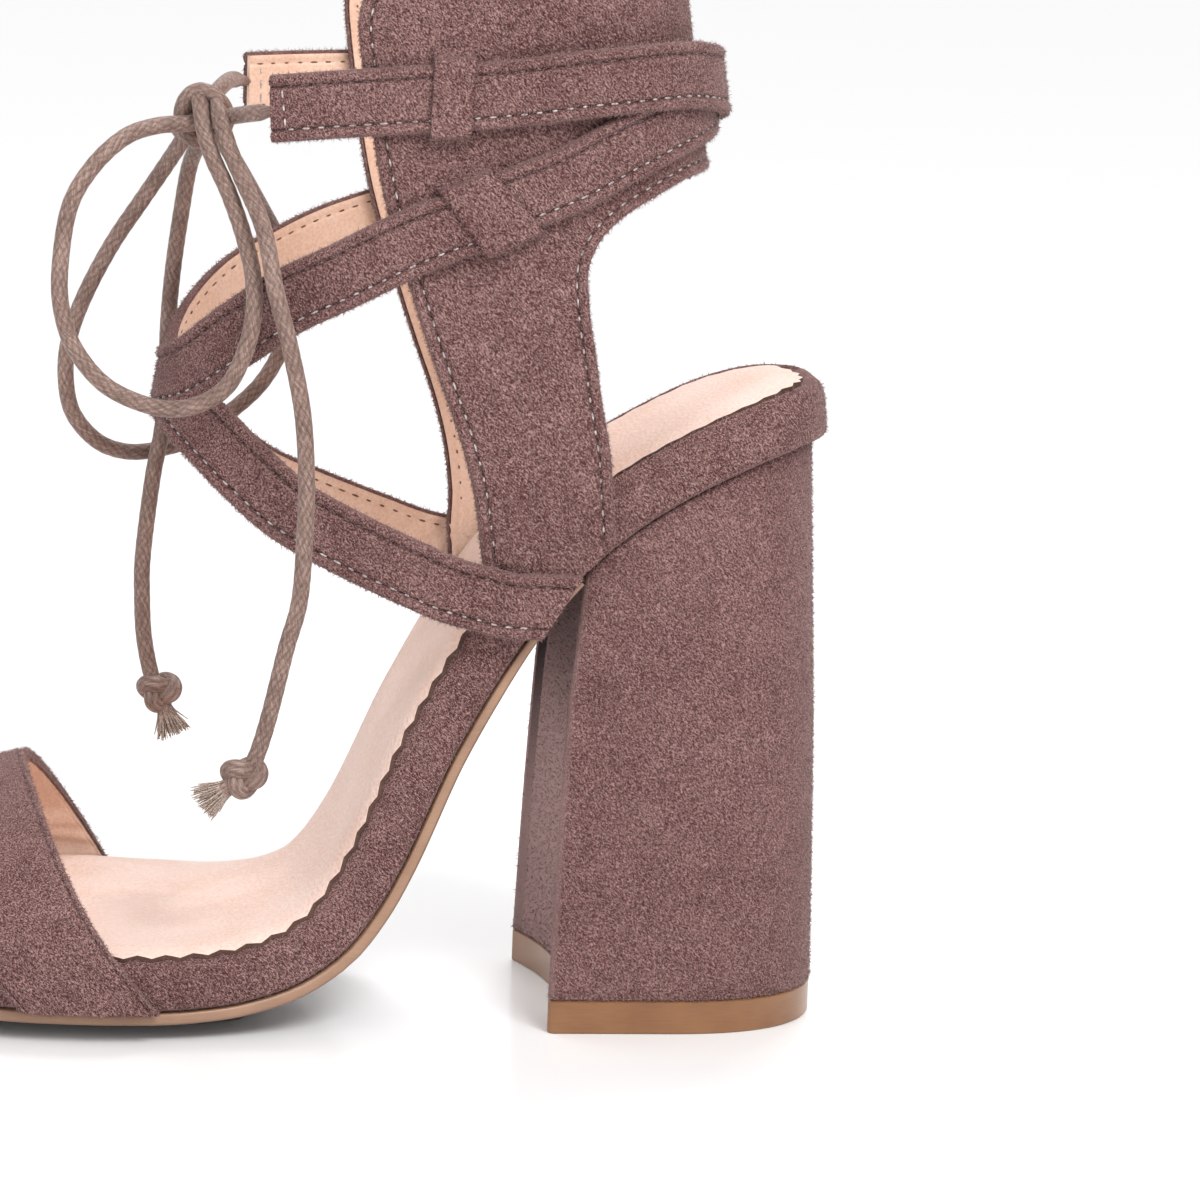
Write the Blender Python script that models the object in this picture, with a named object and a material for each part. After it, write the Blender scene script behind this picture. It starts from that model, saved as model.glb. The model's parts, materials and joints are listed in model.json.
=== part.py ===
"""Left cross strap sandal on a block heel.

Sizes are millimetres in the last's own frame: x runs from the toe (negative) to the back of the
heel, y from the outer (lateral) side to the inner (medial) side, and z up from the floor.
"Reach" is the distance forward from the back of the heel, so reach = -x.
An empty named sandal carries every piece and puts the origin under the middle of the shoe.
"""
import math

import bmesh
import bpy
import numpy as np
from mathutils import Vector
from mathutils.geometry import delaunay_2d_cdt

MM = 0.001
GAP = 0.4

# Sole
HEEL_END = 3.0
TOE_END = 201.0
HEEL_ROUND = 24.0
TOE_ROUND = 36.0
END_POWER = 2.15
INSOLE_THICK = 9.2
INSOLE_TOP_ROUND = 3.2
INSOLE_FOOT_ROUND = 1.2
SOCK_BEVEL = 0.4
SOCK_INSET = 1.7
SOCK_THICK = 1.0
OUTSOLE_INSET = 0.6
OUTSOLE_EDGE = 2.3
OUTSOLE_BEVEL = 1.2
OUTSOLE_BACK = 57.6
TREAD_SHARE = 0.62
STATION_STEP = 7.0
END_STEPS = 7
END_TIP = 0.006

# Heel
LIFT_HEIGHT = 6.0
BREAST_DEPTH = 5.0
BREAST_STEPS = 8
HEEL_CORNER = 1.4
HEEL_FLAT_SHARE = 0.42
HEEL_BACK_POWER = 2.4
HEEL_BACK_STEPS = 9

# Upper
WALL = 2.0
STRAP_WIDTH = 11.6
STRAP_EDGE = 0.6
STRAP_STEP = 5.6
STRAP_CUT_SKEW = 3.4
STRAP_CUT_REACH = 26.0
FORM_POWER = 2.3
CUFF_STEP = 5.0
CUFF_GRID = 8.0
CUFF_MM_PER_DEGREE = 0.55
CUFF_TOP = 190.0
CUFF_PANEL_TURN = 90.0
MEDIAL_NARROWING = 0.175
BAND_POWER = 1.95
BAND_ACROSS = 26
BAND_ALONG = 5
BAND_LEG_SHARE = 0.08
BAND_LEG_RISE = 0.25
BAND_SKEW = 2.5
LOOP_WALL = 1.0
LOOP_FOOT = 2.6
LOOP_SOFT = 0.4

# Cord
CORD_DIAMETER = 3.0
CORD_STEP = 6.5
KNOT_CENTRE = (-116.0, -1.0, 159.0)
KNOT_RADII = (5.8, 6.0, 6.8)
TAIL_KNOT_RADII = (4.2, 3.6, 3.4)
KNOT_CLEAR = 0.7
FRAYED_SPREAD = 1.6


class Table:
    """A short table whose columns are followed smoothly, with no overshoot, along the first one."""

    def __init__(self, columns, *rows):
        self.columns = columns
        self.rows = np.array(rows, float)

    def __call__(self, column, at):
        x = self.rows[:, 0]
        y = self.rows[:, self.columns.index(column)]
        step = np.diff(x)
        rise = np.diff(y) / step
        slope = np.zeros_like(y)
        slope[0] = rise[0]
        slope[-1] = rise[-1]
        for i in range(1, len(x) - 1):
            if rise[i - 1] * rise[i] > 0:
                before = 2 * step[i] + step[i - 1]
                after = step[i] + 2 * step[i - 1]
                slope[i] = (before + after) / (before / rise[i - 1] + after / rise[i])
        at = min(max(at, x[0]), x[-1])
        i = min(max(int(np.searchsorted(x, at)) - 1, 0), len(x) - 2)
        t = (at - x[i]) / step[i]
        start = (1 + 2 * t) * (1 - t) ** 2 * y[i] + t * (1 - t) ** 2 * step[i] * slope[i]
        end = t * t * (3 - 2 * t) * y[i + 1] + t * t * (t - 1) * step[i] * slope[i + 1]
        return float(start + end)


# Height of the wrapped insole's top along the foot.
FOOT_BED = Table(
    ("reach", "height"),
    (0, 115.5), (11, 114.2), (20, 111.4), (29, 107.2), (37.5, 102.4), (44, 98), (55, 88.5),
    (61.7, 81), (67.6, 72.5), (77.9, 54), (87.2, 33), (90.9, 26.4), (95.6, 20.8), (103, 17), (112, 15.3),
    (125, 14.7), (140, 14.7), (160, 15.6), (180, 17.8), (202, 21.5))

# Outline of the insole before its ends are rounded: the middle swings inward at the forefoot.
SOLE_OUTLINE = Table(
    ("reach", "middle", "half"),
    (0, 0, 25), (45, 0, 25), (62, -0.4, 24.6), (78, -1.6, 23.2), (90, -1.5, 25.2), (104, 1, 33),
    (120, 3.8, 39.2), (135, 5.8, 41), (150, 7.3, 40.5), (165, 9, 39), (180, 10.5, 37), (202, 12.5, 34))

# Outsole thickness at the middle: deep enough under the ball to stand on the floor.
OUTSOLE_DEPTH = Table(
    ("reach", "depth"),
    (50, 2.3), (97, 2.6), (111, 6.2), (152, 6.2), (175, 2.8), (202, 2.4))

HEEL_SECTIONS = Table(
    ("height", "front", "back", "half"),
    (6, -51.9, -0.9, 27.8), (35, -51.0, -1.7, 26.5), (60, -49.9, -2.6, 25.0), (90, -47.6, -5.0, 23.4))

# Plan of the ankle and instep that the upper lies on.
ANKLE_FORM = Table(
    ("height", "back", "front", "half"),
    (70, 8, -152, 25.8), (85, 8, -138, 25.7), (100, 0, -124, 26), (112, -9, -119, 26.4),
    (130, -20, -118, 27), (150, -27, -117.5, 27.2), (170, -30.6, -117.2, 27), (190, -33.6, -117, 26.5))

# The cuff's edges on one side, by degrees turned from the back centre.
CUFF_REAR_EDGE = (
    (0, 157), (20, 156.3), (35, 154.5), (52, 149), (62, 144), (67.5, 138), (69.5, 131),
    (71.5, 122), (74, 113), (77, 100), (79.5, 88.5))
CUFF_FOOT_EDGE = ((79.5, 88.5), (83, 81.5), (87.3, 74.5))
CUFF_FRONT_EDGE = (
    (87.3, 74.5), (90, 83), (93, 93), (97, 110), (100, 129), (104, 146), (106.6, 159), (108.8, 171))
CUFF_CORNER = ((108.8, 171), (109.6, 178), (108, 183), (103, 186), (97, 186.8))
CUFF_TOP_EDGE = ((97, 186.8), (50, 187.3), (0, 187.5))

# Straps, each from its own side of the sole, over the instep, round the back to its tie end.
STRAP_COLUMNS = ("turn", "height", "stand_off")
LATERAL_STRAP = Table(
    STRAP_COLUMNS,
    (80.5, 77.3, 2.6), (86, 77.6, 2.6), (91, 79.5, 2.6), (98, 83, 2.2), (109, 88, 1.2), (121, 93, 0.6),
    (134, 99, 0.4), (147, 104.4, 0.4), (163, 108.7, 0.4), (180, 112, 0.4), (198, 117.5, 0.4),
    (224, 127.5, 0.5), (236, 131.4, 0.8), (249, 135.5, 1.8), (260, 138.5, 2.6), (272, 142.5, 2.6),
    (285, 147, 2.8), (300, 152, 4.0), (320, 158, 5.1), (340, 163, 5.1), (360, 166.5, 5.1), (374, 168.3, 5.1),
    (397, 170, 4.9), (422, 169.1, 4.0), (440, 167.3, 2.8), (456, 165.9, 2.6), (472, 164.6, 2.6),
    (491, 163, 2.4))
MEDIAL_STRAP = Table(
    STRAP_COLUMNS,
    (80.5, 77, 2.6), (86, 77.2, 2.6), (91, 78.8, 2.6), (98, 82, 2.6), (109, 86.5, 2.4), (121, 91, 2.3),
    (134, 96.8, 2.3), (147, 103, 2.2), (163, 108.7, 2.0), (180, 112, 2.0), (198, 115, 2.0), (220, 124, 2.2),
    (233, 130, 2.3), (246, 135, 2.5), (260, 141, 2.6), (270, 145, 2.6), (278, 148.6, 2.6), (290, 152.4, 2.6),
    (308, 158.2, 2.6), (328, 162.3, 2.6), (346, 164, 2.6), (360, 164.6, 2.6), (380, 164.8, 2.6),
    (410, 164.6, 2.6), (450, 163.9, 2.6), (470, 163.4, 2.5), (493, 163, 2.3))

# Belt loops: the strap that each one holds, where, its length along the strap and its reach across.
LOOPS = (
    ("lateral_upper_loop", "lateral", 451.4, 8.2, 8.2),
    ("lateral_lower_loop", "medial", 274, 10.0, 7.2),
    ("medial_upper_loop", "medial", 451.4, 8.2, 8.2),
    ("medial_lower_loop", "lateral", 274, 10.0, 7.2))

# Toe band: reach of its rear and front edges at the feet, and how far they lean forward to the top.
BAND_REAR_FOOT = 121.5
BAND_REAR_LEAN = 22.5
BAND_FRONT_FOOT = 145.5
BAND_FRONT_LEAN = 24.0
BAND_LATERAL_BOW = 2.4
BAND_PEAK = Table(
    ("reach", "height"),
    (120, 41), (144, 39.7), (152, 37.2), (170, 30.5))

# The cord's route, chosen point by point.
LATERAL_BAR = ((-107.2, -22.6, 162.4), (-108.4, -17, 162.2), (-111, -8, 162), (-114, -3, 161.4))
MEDIAL_BAR = ((-107.2, 21.7, 164), (-109.4, 14, 164.4), (-112.4, 6, 163.4), (-114, 2, 162))
LATERAL_BOW = (
    (-116, -5, 158.5), (-122.5, -9, 159.5), (-130, -13, 157), (-135.5, -16, 151.5), (-139.5, -18, 144.5),
    (-141, -20, 134), (-140.5, -21, 126.5), (-138, -22, 120), (-132.5, -23, 114), (-124.5, -25.5, 111),
    (-118, -27.5, 111.5), (-112.5, -29, 115), (-109.5, -29.5, 121), (-108, -29, 127.5), (-108, -26, 134),
    (-109.5, -22, 140.5), (-112, -15.5, 147.5), (-115, -9, 152.5), (-116.5, -4, 155))
MEDIAL_BOW = (
    (-118, 1, 156), (-121, 6.5, 150.5), (-125.5, 10.5, 143), (-130.5, 14, 134.5), (-135, 16, 125),
    (-137.5, 18, 117), (-138, 19, 110), (-136.5, 21, 103), (-132, 24, 97.5), (-126.5, 27.5, 95),
    (-120.5, 30.5, 95), (-113.5, 32.5, 97), (-108, 33.5, 101), (-101.5, 34.5, 107), (-97.5, 35, 114.5),
    (-96.5, 35, 122.5), (-97.5, 34, 130), (-100, 32.5, 135.5), (-102, 30, 139), (-107.5, 19, 148),
    (-112.5, 7, 155.5))
LATERAL_TAIL = (
    (-113, -4, 157.5), (-110, -16, 152.5), (-106.5, -26.5, 142.5), (-104.5, -31.5, 132.5), (-102, -33, 123.5),
    (-99.5, -34.5, 112), (-98.5, -35, 100.5), (-98.5, -35, 90.5), (-99, -34.5, 79), (-101, -33, 70),
    (-103.5, -32, 58), (-105.5, -31, 50.5), (-107.5, -31, 47))
MEDIAL_TAIL = (
    (-115.5, 3, 155.5), (-117, 12, 149.5), (-118, 17, 140.5), (-119, 21, 129.5), (-119.5, 23.5, 119),
    (-119.5, 25, 108.5), (-120, 25.5, 99.5), (-121.5, 25, 90.5), (-123, 23.5, 76.5), (-123, 22.5, 68.5),
    (-122.5, 22, 61.5), (-121, 22, 54.5), (-119.5, 22, 51.5))
LATERAL_TIP = ((-110, -31, 45), (-112.5, -31, 43), (-114.5, -30.5, 40.5))
MEDIAL_TIP = ((-118.5, 21.5, 48.5), (-117, 21, 46), (-116, 21, 43))

# Colour, roughness
SUEDE = ("taupe_suede", (0.20, 0.115, 0.10), 0.95)
NUDE_LEATHER = ("nude_leather", (0.92, 0.72, 0.62), 0.45)
TAN_RESIN = ("tan_resin", (0.55, 0.33, 0.19), 0.45)
CARAMEL_RUBBER = ("caramel_rubber", (0.42, 0.22, 0.10), 0.35)
WAXED_CORD = ("waxed_cord", (0.30, 0.22, 0.16), 0.5)


def clear_scene():
    """Remove every object of the opened file."""
    for obj in list(bpy.data.objects):
        bpy.data.objects.remove(obj, do_unlink=True)


def make_material(finish):
    """Return the Principled material of one finish, made once."""
    name, colour, roughness = finish
    material = bpy.data.materials.get(name)
    if material is None:
        material = bpy.data.materials.new(name)
        material.use_nodes = True
        shader = material.node_tree.nodes["Principled BSDF"]
        shader.inputs["Base Color"].default_value = (*colour, 1.0)
        shader.inputs["Roughness"].default_value = roughness
        shader.inputs["Metallic"].default_value = 0.0
    return material


def make_object(name, data, finish, root):
    """Link one piece with its material under the shoe's empty."""
    obj = bpy.data.objects.new(name, data)
    bpy.context.scene.collection.objects.link(obj)
    data.materials.append(make_material(finish))
    obj.parent = root
    return obj


def mesh_from(name, points, faces):
    """Build a closed mesh from millimetre points, with its faces turned outward."""
    mesh = bpy.data.meshes.new(name)
    mesh.from_pydata([tuple(c * MM for c in p) for p in points], [], faces)
    shape = bmesh.new()
    shape.from_mesh(mesh)
    bmesh.ops.recalc_face_normals(shape, faces=shape.faces)
    bmesh.ops.triangulate(shape, faces=[f for f in shape.faces if len(f.verts) > 4])
    shape.to_mesh(mesh)
    shape.free()
    mesh.shade_smooth()
    mesh.set_sharp_from_angle(angle=math.radians(40))
    return mesh


def loft(name, rings):
    """Skin closed rings of equal count and cap both ends."""
    count = len(rings[0])
    points = [p for ring in rings for p in ring]
    faces = []
    for r in range(len(rings) - 1):
        for i in range(count):
            j = (i + 1) % count
            faces.append((r * count + i, r * count + j, (r + 1) * count + j, (r + 1) * count + i))
    last = (len(rings) - 1) * count
    faces.append(tuple(range(count)))
    faces.append(tuple(last + i for i in range(count)))
    return mesh_from(name, points, faces)


def double_wall(name, inner, outer, faces, rims):
    """Close an inner and an outer skin of one pattern along the pattern's rim edges."""
    count = len(inner)
    walls = list(faces)
    walls += [tuple(count + i for i in face) for face in faces]
    walls += [(a, b, count + b, count + a) for a, b in rims]
    return mesh_from(name, list(inner) + list(outer), walls)


def even_steps(points, step):
    """Return shares of a polyline's length, about one step apart, as indexes of its dense points."""
    points = np.array(points)
    run = np.concatenate([[0.0], np.cumsum(np.linalg.norm(np.diff(points, axis=0), axis=1))])
    count = max(int(round(run[-1] / step)), 2)
    return [int(np.argmin(abs(run - goal))) for goal in np.linspace(0.0, run[-1], count + 1)]


# Sole

def bed_frame(reach):
    """Return the foot bed's point (x, z) and its upward normal at a reach."""
    small = 0.2
    rise = (FOOT_BED("height", reach + small) - FOOT_BED("height", reach - small)) / (2 * small)
    size = math.hypot(1.0, rise)
    return (-reach, FOOT_BED("height", reach)), (rise / size, 1.0 / size)


def on_bed(reach, y, up):
    """Return the point at a reach, a side place and a height along the foot bed's normal."""
    (x, z), (nx, nz) = bed_frame(reach)
    return (x + nx * up, y, z + nz * up)


def half_width(reach, inset):
    """Return the sole's half width at a reach, with both ends rounded."""
    heel_share = min(max((reach - HEEL_END - inset) / (HEEL_ROUND - inset), 0.0), 1.0)
    toe_share = min(max((TOE_END - inset - reach) / (TOE_ROUND - inset), 0.0), 1.0)
    share = min(heel_share, toe_share)
    rounding = (1.0 - (1.0 - share) ** END_POWER) ** (1.0 / END_POWER)
    return (SOLE_OUTLINE("half", reach) - inset) * rounding


def sole_stations(start, end, round_start):
    """Return reaches that crowd at rounded ends and keep an even step along the foot bed between."""
    first = start + HEEL_ROUND if round_start else start
    last = end - TOE_ROUND
    ends = [1.0 - math.cos(math.pi / 2 * k / END_STEPS) for k in range(END_STEPS)]
    ends[0] = END_TIP
    dense = np.linspace(first, last, 600)
    middle = [float(dense[i]) for i in even_steps([(r, FOOT_BED("height", r)) for r in dense], STATION_STEP)]
    heel = [start + HEEL_ROUND * e for e in ends] if round_start else []
    toe = [end - TOE_ROUND * e for e in reversed(ends)]
    return heel + middle + toe


def end_drop(reach):
    """Return how far the insole's top falls where its rounded edge runs round the toe and the heel."""
    inward = min(reach - HEEL_END, TOE_END - reach)
    if inward >= INSOLE_TOP_ROUND:
        return 0.0
    return INSOLE_TOP_ROUND - math.sqrt(INSOLE_TOP_ROUND ** 2 - (INSOLE_TOP_ROUND - inward) ** 2)


def insole_ring(reach):
    """Return one section of the wrapped insole: round top edges, flat foot."""
    half = half_width(reach, 0.0)
    middle = SOLE_OUTLINE("middle", reach)
    drop = end_drop(reach)
    top = min(INSOLE_TOP_ROUND, 0.8 * half)
    foot = min(INSOLE_FOOT_ROUND, 0.4 * half)
    side = []
    for degrees in (90, 60, 30, 0):
        angle = math.radians(degrees)
        across = half - top + top * math.cos(angle)
        side.append((across, -drop - (top - top * math.sin(angle)) * (1 - drop / INSOLE_THICK)))
    side.append((half, -INSOLE_THICK + foot))
    side.append((half - foot, -INSOLE_THICK))
    ring = side + [(-across, up) for across, up in reversed(side)]
    return [on_bed(reach, middle + across, up) for across, up in ring]


def sock_ring(reach):
    """Return one section of the thin sock that lies on the insole."""
    half = half_width(reach, SOCK_INSET)
    middle = SOLE_OUTLINE("middle", reach)
    low, high = GAP, GAP + SOCK_THICK
    bevel = min(SOCK_BEVEL, 0.3 * half)
    side = [(half - bevel, high), (half, high - bevel), (half, low)]
    ring = side + [(-across, up) for across, up in reversed(side)]
    return [on_bed(reach, middle + across, up) for across, up in ring]


def outsole_ring(reach):
    """Return one section of the outsole: thin edges, and a tread that is flat on the floor."""
    half = half_width(reach, OUTSOLE_INSET)
    middle = SOLE_OUTLINE("middle", reach)
    top = -INSOLE_THICK - GAP
    edge = top - OUTSOLE_EDGE
    bevel = min(OUTSOLE_BEVEL, 0.3 * half)
    side = [(half, top), (half, edge + bevel * 0.4), (half - bevel, edge)]
    side.append((half * TREAD_SHARE, top - OUTSOLE_DEPTH("depth", reach)))
    ring = side + [(-across, up) for across, up in reversed(side)]
    points = [on_bed(reach, middle + across, up) for across, up in ring]
    return [(x, y, max(z, 0.0)) for x, y, z in points]


def underside(x):
    """Return the height of the insole's underside over a place on the heel."""
    line = [on_bed(reach, 0.0, -INSOLE_THICK) for reach in np.linspace(HEEL_END, 90.0, 300)]
    line.sort()
    return float(np.interp(x, [p[0] for p in line], [p[2] for p in line]))


def heel_outline(front, back, half):
    """Return the heel's plan: hollow breast, flat sides and a round back."""
    turn_at = front + HEEL_FLAT_SHARE * (back - front)
    side = [(front, half - HEEL_CORNER), (front + 0.3 * HEEL_CORNER, half - 0.3 * HEEL_CORNER),
            (front + HEEL_CORNER, half)]
    for k in range(HEEL_BACK_STEPS + 1):
        angle = math.pi / 2 * k / HEEL_BACK_STEPS
        x = turn_at + (back - turn_at) * math.sin(angle) ** (2 / HEEL_BACK_POWER)
        side.append((x, half * math.cos(angle) ** (2 / HEEL_BACK_POWER)))
    side[-1] = (back, 0.0)
    outline = [(x, -y) for x, y in side] + list(reversed(side[:-1]))
    edge = half - HEEL_CORNER
    for k in range(1, BREAST_STEPS):
        y = edge * (1 - 2 * k / BREAST_STEPS)
        outline.append((front + BREAST_DEPTH * (1 - (y / edge) ** 2), y))
    return outline


def heel_plan(height):
    """Return the heel's outline at one height."""
    return heel_outline(*(HEEL_SECTIONS(column, height) for column in ("front", "back", "half")))


def make_sole(root):
    """Make the outsole, wrapped insole, sock, heel and lift."""
    whole = sole_stations(HEEL_END, TOE_END, True)
    inside = sole_stations(HEEL_END + SOCK_INSET, TOE_END - SOCK_INSET, True)
    fore = sole_stations(OUTSOLE_BACK, TOE_END - OUTSOLE_INSET, False)
    low = LIFT_HEIGHT + GAP
    *levels, seat = HEEL_SECTIONS.rows[1:, 0]
    rings = [[(x, y, z) for x, y in heel_plan(z)] for z in (low, *levels)]
    rings.append([(x, y, underside(x) - GAP) for x, y in heel_plan(seat)])
    lift = heel_plan(low)
    return [
        make_object("wrapped_insole", loft("wrapped_insole", [insole_ring(r) for r in whole]), SUEDE, root),
        make_object("sock_lining", loft("sock_lining", [sock_ring(r) for r in inside]), NUDE_LEATHER, root),
        make_object("outsole", loft("outsole", [outsole_ring(r) for r in fore]), TAN_RESIN, root),
        make_object("heel_block", loft("heel_block", rings), SUEDE, root),
        make_object("top_lift", loft("top_lift", [[(x, y, z) for x, y in lift] for z in (0.0, LIFT_HEIGHT)]),
                    CARAMEL_RUBBER, root)]


# Upper

def ankle_point(turn, height, off):
    """Return a point off the ankle form, by degrees turned from the back (lateral side negative)."""
    back, front, half = (ANKLE_FORM(column, height) for column in ("back", "front", "half"))
    middle = (back + front) / 2
    reach = (back - front) / 2

    def plan(degrees):
        c = math.cos(math.radians(degrees))
        s = math.sin(math.radians(degrees))
        return (middle + reach * math.copysign(abs(c) ** (2 / FORM_POWER), c),
                half * math.copysign(abs(s) ** (2 / FORM_POWER), s))

    x, y = plan(turn)
    before = plan(turn - 0.5)
    after = plan(turn + 0.5)
    tx = after[0] - before[0]
    ty = after[1] - before[1]
    size = math.hypot(tx, ty)
    return np.array((x + ty / size * off, y - tx / size * off, height))


def smooth_path(knots, steps=24):
    """Return dense points on a smooth curve through the knots."""
    knots = np.array(knots, float)
    ends = np.vstack([2 * knots[0] - knots[1], knots, 2 * knots[-1] - knots[-2]])
    points = []
    for i in range(1, len(ends) - 2):
        a, b, c, d = ends[i - 1:i + 3]
        for k in range(steps):
            t = k / steps
            points.append(0.5 * (2 * b + (c - a) * t + (2 * a - 5 * b + 4 * c - d) * t * t
                                 + (3 * b - 3 * c + d - a) * t ** 3))
    points.append(knots[-1])
    return np.array(points)


def cuff_half_outline():
    """Return one side of the cuff's pattern, from the back centre round the panel to the top centre."""
    outline = []
    for edge in (CUFF_REAR_EDGE, CUFF_FOOT_EDGE, CUFF_FRONT_EDGE, CUFF_CORNER, CUFF_TOP_EDGE):
        dense = smooth_path(edge) * (CUFF_MM_PER_DEGREE, 1.0)
        outline += [tuple(dense[i]) for i in even_steps(dense, CUFF_STEP)][:-1]
    outline.append((0.0, CUFF_TOP_EDGE[-1][1]))
    return outline


def medial_setback(u, height):
    """Return the pattern's place on the medial side, where the front edge sits further back."""
    front = CUFF_PANEL_TURN * CUFF_MM_PER_DEGREE
    return min(u, front) + max(u - front, 0.0) * (1 - MEDIAL_NARROWING * height / CUFF_TOP)


def make_cuff(root):
    """Make the open ankle cuff: a cut pattern laid on the form with a wall of even thickness."""
    half = cuff_half_outline()
    lateral = [(-u, z) for u, z in half]
    medial = [(medial_setback(u, z), z) for u, z in half[1:-1]]
    outline = [Vector(p) for p in lateral + list(reversed(medial))]
    count = len(outline)
    widest = max(u for u, _ in half)
    lowest = min(z for _, z in half)
    grid = [Vector((u, z)) for u in np.arange(-widest, widest, CUFF_GRID)
            for z in np.arange(lowest, CUFF_TOP, CUFF_GRID)]
    edges = [(i, (i + 1) % count) for i in range(count)]
    keep = outline + [g for g in grid if min((g - o).length for o in outline) > CUFF_GRID / 2]
    points, _, faces, _, _, _ = delaunay_2d_cdt(keep, edges, [list(range(count))], 1, 1e-4)
    used = sorted({i for face in faces for i in face})
    index = {old: new for new, old in enumerate(used)}
    faces = [tuple(index[i] for i in face) for face in faces]
    pattern = [points[i] for i in used]
    uses = {}
    for face in faces:
        for a, b in zip(face, face[1:] + face[:1]):
            uses.setdefault(frozenset((a, b)), []).append((a, b))
    rims = [pairs[0] for pairs in uses.values() if len(pairs) == 1]
    inner = [ankle_point(u / CUFF_MM_PER_DEGREE, z, 0.0) for u, z in pattern]
    outer = [ankle_point(u / CUFF_MM_PER_DEGREE, z, WALL) for u, z in pattern]
    return [make_object("ankle_cuff", double_wall("ankle_cuff", inner, outer, faces, rims), SUEDE, root)]


class Strap:
    """A flat strap that follows the ankle form along its table, on its own side first."""

    def __init__(self, table, side):
        self.table = table
        self.side = side
        self.turns = np.linspace(table.rows[0, 0], table.rows[-1, 0], 900)
        self.line = np.array([self.base(t) for t in self.turns])

    def base(self, turn):
        """Return the strap's middle line on the form."""
        return ankle_point(self.side * turn, self.table("height", turn), 0.0)

    def frame(self, turn):
        """Return the middle point on the form, and the directions along, out and across."""
        along = self.base(turn + 0.5) - self.base(turn - 0.5)
        along /= np.linalg.norm(along)
        degrees = self.side * turn
        height = self.table("height", turn)
        around = ankle_point(degrees + 0.5, height, 0.0) - ankle_point(degrees - 0.5, height, 0.0)
        upward = ankle_point(degrees, height + 0.5, 0.0) - ankle_point(degrees, height - 0.5, 0.0)
        out = np.cross(around, upward)
        out /= np.linalg.norm(out)
        across = np.cross(along, out) * self.side
        return self.base(turn), along, out, across

    def section(self, turn, shape, skew=0.0):
        """Return one ring of (across, off) places, moved along the strap by the skew."""
        base, along, out, across = self.frame(turn)
        return [base + across * a + out * off + along * skew * a * 2 / STRAP_WIDTH for a, off in shape]

    def rings(self):
        """Return the strap's sections; its cut end follows the edge of the sole."""
        run = 0.0
        rings = []
        previous = None
        for i in even_steps(self.line, STRAP_STEP):
            turn = self.turns[i]
            if previous is not None:
                run += float(np.linalg.norm(self.line[i] - self.line[previous]))
            previous = i
            low = self.table("stand_off", turn)
            half = STRAP_WIDTH / 2
            shape = [(half, low + WALL / 2), (half - STRAP_EDGE, low + WALL), (STRAP_EDGE - half, low + WALL),
                     (-half, low + WALL / 2), (STRAP_EDGE - half, low), (half - STRAP_EDGE, low)]
            skew = STRAP_CUT_SKEW * max(1.0 - run / STRAP_CUT_REACH, 0.0)
            rings.append(self.section(turn, shape, skew))
        return rings


def loop_shape(low, reach):
    """Return a belt loop's section across its strap: two feet on the cuff and a bridge over the strap."""
    inner = STRAP_WIDTH / 2 + GAP
    outer = inner + LOOP_WALL
    bridge = low + WALL + GAP
    foot_top = LOOP_FOOT + LOOP_WALL
    half = [(inner, bridge), (inner, LOOP_FOOT), (reach, LOOP_FOOT), (reach, foot_top),
            (outer, foot_top + LOOP_SOFT), (outer - LOOP_SOFT, bridge + LOOP_WALL)]
    return half + [(-across, off) for across, off in reversed(half)]


def make_straps(root):
    """Make the two straps, joined over the instep, and the belt loops that hold them to the cuff."""
    straps = {"lateral": Strap(LATERAL_STRAP, -1), "medial": Strap(MEDIAL_STRAP, 1)}
    upper_run = loft("cross_straps", straps["medial"].rings())
    under_run = loft("lateral_strap_run", straps["lateral"].rings())
    crossed = make_object("cross_straps", upper_run, SUEDE, root)
    under = make_object("lateral_strap_run", under_run, SUEDE, root)
    under.hide_render = True
    under.display_type = "WIRE"
    join = crossed.modifiers.new("joined_at_crossing", "BOOLEAN")
    join.operation = "UNION"
    join.solver = "EXACT"
    join.object = under
    pieces = [crossed, under]
    for name, held, turn, length, reach in LOOPS:
        strap = straps[held]
        per_degree = np.linalg.norm(strap.base(turn + 0.5) - strap.base(turn - 0.5))
        shape = loop_shape(strap.table("stand_off", turn), reach)
        turns = [turn + length * share / per_degree for share in (-0.5, -0.17, 0.17, 0.5)]
        pieces.append(make_object(name, loft(name, [strap.section(t, shape) for t in turns]), SUEDE, root))
    return pieces


def band_point(across, along, grow):
    """Return a point of the toe band, grown outward from its inner skin."""
    angle = math.pi * min(max((across - BAND_LEG_SHARE) / (1 - 2 * BAND_LEG_SHARE), 0.0), 1.0)
    cosine = math.cos(angle)
    arch = max(math.sin(angle), 0.0) ** (2 / BAND_POWER)
    leg = min(across, 1 - across, BAND_LEG_SHARE) / BAND_LEG_SHARE
    rise = BAND_LEG_RISE * leg + (1 - BAND_LEG_RISE) * arch
    bow = BAND_LATERAL_BOW * 4 * rise * (1 - rise) * max(cosine, 0.0)
    rear = BAND_REAR_FOOT + BAND_REAR_LEAN * rise
    front = BAND_FRONT_FOOT + BAND_FRONT_LEAN * rise
    reach = rear * (1 - along) + front * along + bow
    half = half_width(reach, 0.0) + GAP + grow
    foot = FOOT_BED("height", reach) - INSOLE_THICK
    peak = BAND_PEAK("height", reach) + grow
    y = SOLE_OUTLINE("middle", reach) - half * math.copysign(abs(cosine) ** (2 / BAND_POWER), cosine)
    return (-reach, y + BAND_SKEW * arch, foot + (peak - foot) * rise)


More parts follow.
